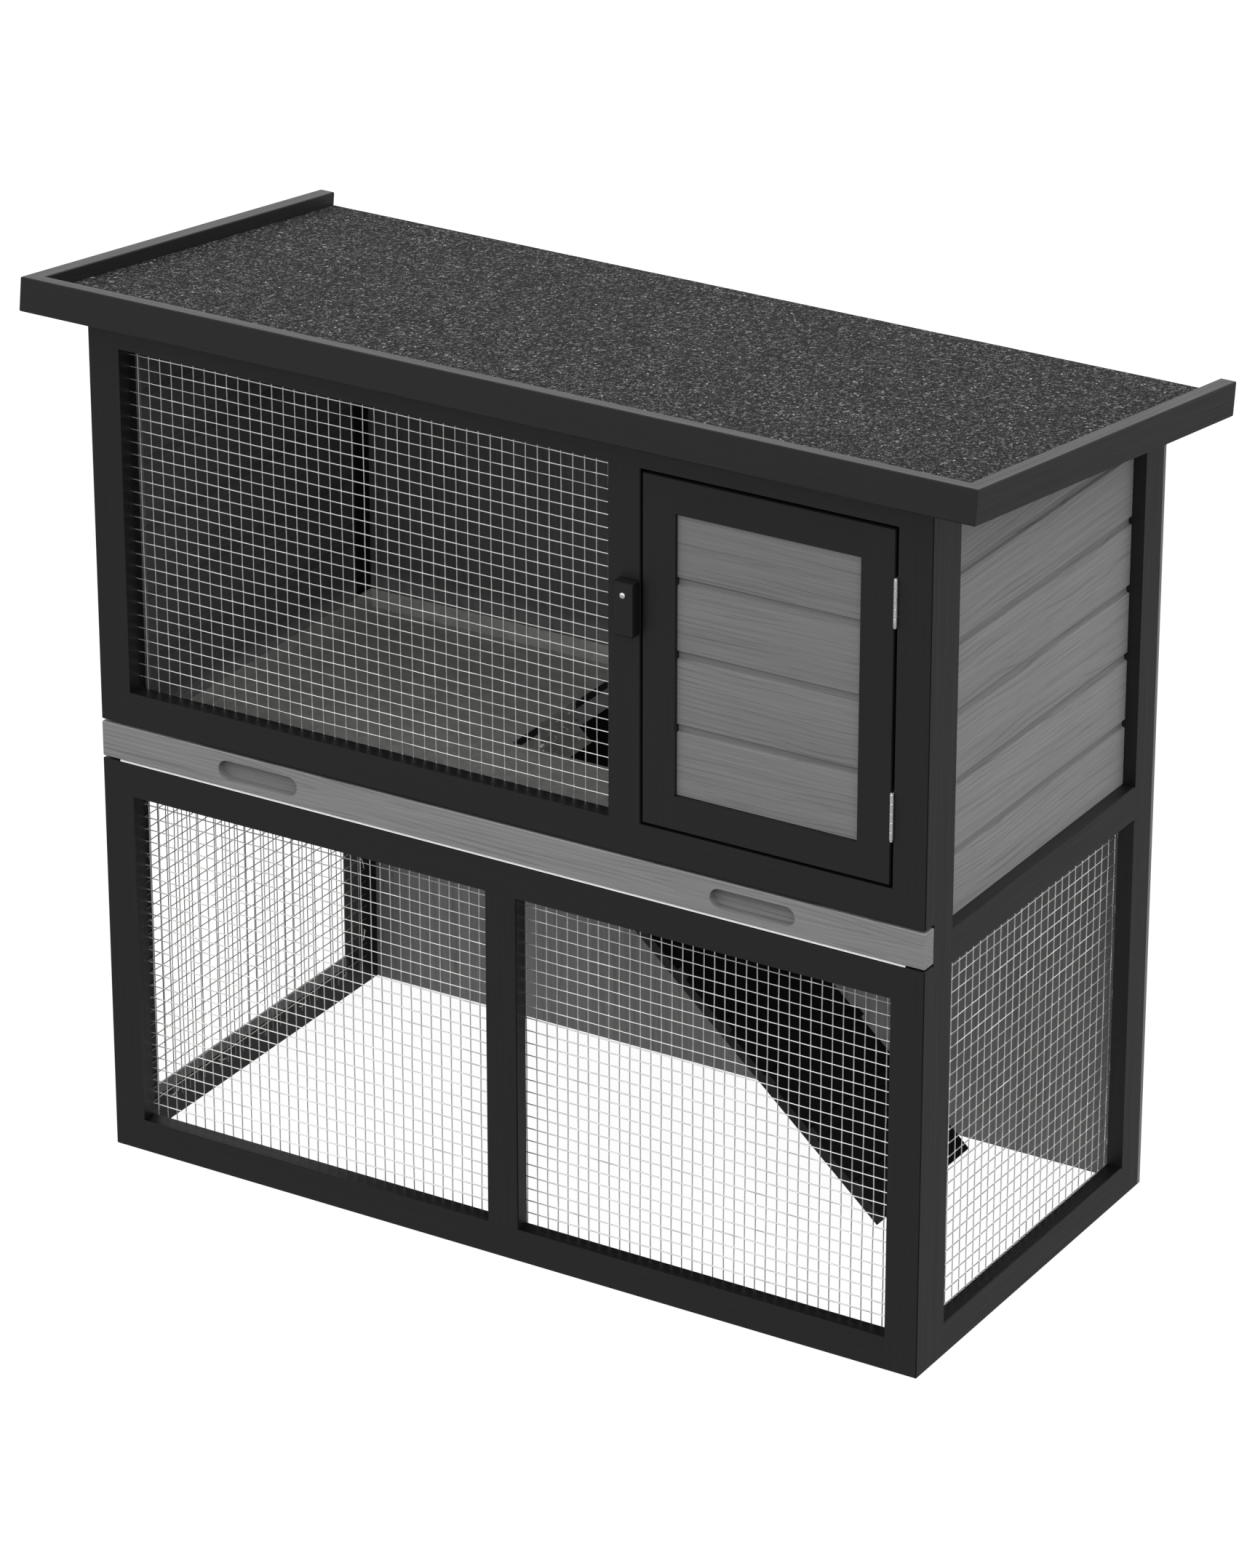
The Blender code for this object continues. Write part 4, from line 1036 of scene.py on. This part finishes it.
def add_ramp_hinge(zinc, head, rng):
    origin = JOINTS["ramp_hinge"]["pos_m"]
    down_ramp = (math.cos(RAMP_ANGLE), 0.0, -math.sin(RAMP_ANGLE))
    fixed = axes_matrix(origin, (0, -1, 0), (0, 0, 1))
    moving = axes_matrix(origin, (0, 1, 0), down_ramp)
    add_leaf("ramp_hinge_bar_leaf", fixed, RAMP_HINGE, FIXED, "body", zinc)
    add_leaf("ramp_hinge_ramp_leaf", moving, RAMP_HINGE, MOVING, "ramp", zinc)
    add_pin("ramp_hinge_pin", fixed, RAMP_HINGE, zinc)
    for name, matrix, body in (("bar", fixed, "body"), ("ramp", moving, "ramp")):
        places = [matrix @ Vector(place) for place in RAMP_SCREWS]
        facing = -(matrix.to_3x3() @ Vector((0, 0, 1)))
        add_screws("ramp_hinge_screws_" + name, places, facing, SMALL_SCREW, body, zinc, head, rng)


# ---------------------------------------------------------------- finishes of the CAD pieces

def long_axis(name):
    low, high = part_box(name)
    size = high - low
    return max(range(3), key=lambda axis: size[axis])


def close_joints():
    """Bars whose butt ends fill the frame's fit gaps, as the hutch's tight joints do."""
    for name, body, axis, ends, reach in BUTT_ENDS:
        low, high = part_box(name)
        bm = bmesh.new()
        bm.from_mesh(NODES[name].data)
        for vertex in bm.verts:
            if "lower" in ends and vertex.co[axis] < low[axis] + reach:
                vertex.co[axis] -= JOINT_CLOSE
            if "upper" in ends and vertex.co[axis] > high[axis] - reach:
                vertex.co[axis] += JOINT_CLOSE
        material = NODES[name].material_slots[0].material
        add_piece(name + "_jointed", bm, material, body, (name,), smooth=35)


def add_tray_lip():
    """The pan's turned-up front edge, white under the board."""
    material, tree, shader = new_material("tray_lip")
    cloud = stretched_noise(tree, object_place(tree), LIP_CLOUDS, 2.0)
    paint(tree, shader, LIP_TINT, remap(tree, cloud, *LIP_LEVEL))
    shader.inputs["Roughness"].default_value = LIP_ROUGH
    low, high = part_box("tray_pan")
    bm = bmesh.new()
    add_box(bm, (low.x, high.x), (FRONT + LIP_Y[0], FRONT + LIP_Y[1]), LIP_Z, LIP_BEVEL)
    for vert in bm.verts:
        # the lip leans back, so its face looks up
        rise = (vert.co.z - LIP_Z[0]) / (LIP_Z[1] - LIP_Z[0])
        vert.co.y += rise * LIP_LEAN
    add_piece("tray_lip", bm, material, "tray", smooth=35)


def finish_cad_pieces():
    slope = (ROOF_SLOPE, 0.0, 0.0)
    blacks = [black_wood("black_stain_along_" + axis, i) for i, axis in enumerate("xyz")]
    greys = [grey_wood("grey_stain_along_" + axis, i) for i, axis in enumerate("xyz")]
    back_shade = painted_indoor_shade(1, -1.0, BACK_INDOOR_PAINTED_SHADE)
    special = {
        "roof_side_rail_left": black_wood("black_stain_roof_rail", 1, slope),
        "roof_front_rail": black_wood("black_stain_roof_front", 0, slope),
        "roof_deck": grey_wood("grey_stain_deck", 0, slope),
        "ramp_board": black_wood("black_stain_ramp", 0, (0.0, -RAMP_ANGLE, 0.0)),
        "tray_pan": zinc_material("galvanised_sheet", tone=0.46, roughness=0.55, spangle=0.009,
                                  metallic=0.15),
        "back_panel": grey_wood("grey_stain_back", 2, tone=BACK_GREY, shading=back_shade),
        "tray_front_board": grey_wood("grey_stain_tray", 0, shading=painted_slot_shade),
    }
    for name in ("roof_side_rail_right", "side_top_rail_left", "side_top_rail_right"):
        special[name] = special["roof_side_rail_left"]
    slots = {part["node"]: part["material_slot"] for part in frame["record"]["subparts"]}
    for name, piece in NODES.items():
        material = special.get(name)
        if material is None and slots[name] == "black_stain":
            material = blacks[long_axis(name)]
        if material is None and slots[name] == "grey_stain":
            material = greys[long_axis(name)]
        if material is not None:
            piece.material_slots[0].material = material


# ---------------------------------------------------------------- stage

def add_floor():
    """A white floor that glows by itself; reflections and bounced light leave it out."""
    material, _, shader = new_material("studio_floor")
    shader.inputs["Base Color"].default_value = (FLOOR_COLOUR, FLOOR_COLOUR, FLOOR_COLOUR, 1.0)
    shader.inputs["Roughness"].default_value = FLOOR_ROUGHNESS
    shader.inputs["Emission Color"].default_value = (1.0, 1.0, 1.0, 1.0)
    shader.inputs["Emission Strength"].default_value = FLOOR_GLOW
    bm = bmesh.new()
    bmesh.ops.create_grid(bm, x_segments=1, y_segments=1, size=FLOOR_SIZE / 2)
    mesh = bpy.data.meshes.new("studio_floor")
    bm.to_mesh(mesh)
    bm.free()
    mesh.materials.append(material)
    floor = bpy.data.objects.new("studio_floor", mesh)
    bpy.context.scene.collection.objects.link(floor)
    floor.location.z = -FLOOR_DROP
    floor.visible_glossy = False
    floor.visible_diffuse = False


def add_light():
    """A white room, dimmer below the horizon."""
    world = bpy.data.worlds.new("studio")
    world.use_nodes = True
    bpy.context.scene.world = world
    tree = world.node_tree
    direction = node(tree, "ShaderNodeTexCoord").outputs["Generated"]
    level = remap(tree, sides_of(tree, direction)[2], *HORIZON, GROUND, SKY)
    tree.links.new(level, tree.nodes["Background"].inputs["Strength"])
    tree.nodes["Background"].inputs["Color"].default_value = (1.0, 1.0, 1.0, 1.0)


def add_camera():
    data = bpy.data.cameras.new("camera")
    data.lens = LENS
    data.sensor_width = SENSOR
    camera = bpy.data.objects.new("camera", data)
    bpy.context.scene.collection.objects.link(camera)
    back = Vector((math.sin(AZIMUTH) * math.cos(ELEVATION), -math.cos(AZIMUTH) * math.cos(ELEVATION),
                   math.sin(ELEVATION)))
    camera.location = CAMERA_PLACE
    camera.rotation_euler = (-back).to_track_quat("-Z", "Y").to_euler()
    bpy.context.scene.camera = camera


def add_nets(zinc, rng):
    """Netting and its staples; the wires are lit and shaded copies of one zinc: the left side's darker as painted
    shade, the right side's lighter as painted light, the front's a little less bright.
    """
    # painted light and shade: each copy of the wire gets its own tone for how it is lit
    front_wire = zinc_material("galvanised_wire_painted_dim_front", tone=0.83, roughness=0.31, spangle=0.004)
    side_wires = {
        "side_mesh_left": zinc_material("galvanised_wire_painted_shade_left", tone=0.42, roughness=0.36, spangle=0.004),
        "side_mesh_right": zinc_material("galvanised_wire_painted_light_right", tone=0.97, roughness=0.28, spangle=0.004),
    }
    for name, (facing, across_phase, up_phase) in NETS.items():
        wire = side_wires.get(name, front_wire)
        add_net(name, facing, across_phase, up_phase, wire, rng)
        edges = ("bottom", "top", "start", "end") if facing == 1 else ("bottom", "start", "end")
        add_staples(name, facing, edges, zinc, rng)


def add_all_boards():
    """The side boards, with painted shade on their faces into the upper room, and the door's boards; their grooves
    carry painted shade, from their top to their bottom.
    """
    for side, outward in (("left", -1.0), ("right", 1.0)):
        boards = grey_wood("grey_stain_boards_" + side, 1, boards=(*SIDE_GROOVES[:2], *SIDE_GROOVE_PAINTED_SHADE),
                           shading=painted_indoor_shade(0, -outward, SIDE_INDOOR_PAINTED_SHADE))
        add_boards("side_boarding_" + side, 1, outward, "body", SIDE_GROOVES, boards)
    boards = grey_wood("grey_stain_door_boards", 0, boards=(*DOOR_GROOVES[:2], *DOOR_GROOVE_PAINTED_SHADE),
                       tone=DOOR_GREY)
    add_boards("door_panel", 0, -1.0, "door", DOOR_GROOVES, boards)


def add_latch_screw(zinc, head, rng):
    pivot = JOINTS["latch_turn"]["pos_m"]
    place = (pivot[0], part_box("turn_button_screw")[0].y + LATCH_SEAT, pivot[2])
    add_screws("turn_button_screw_head", [Vector(place)], (0, -1, 0), LATCH_SCREW, "body", zinc, head,
               rng, ("turn_button_screw",))


def build():
    rng = random.Random(7)
    add_camera()
    add_light()
    add_floor()
    finish_cad_pieces()
    close_joints()
    add_tray_lip()
    zinc = zinc_material("zinc_plate", tone=0.88, roughness=0.34, spangle=0.012)
    add_nets(zinc, rng)
    add_all_boards()
    add_felt(felt_material((ROOF_SLOPE, 0.0, 0.0)))
    head = screw_mesh()
    add_door_hinges(zinc)
    add_roof_hinges(zinc, head, rng)
    add_ramp_hinge(zinc, head, rng)
    add_latch_screw(zinc, head, rng)
    bpy.context.scene.view_settings.view_transform = "Standard"


build()
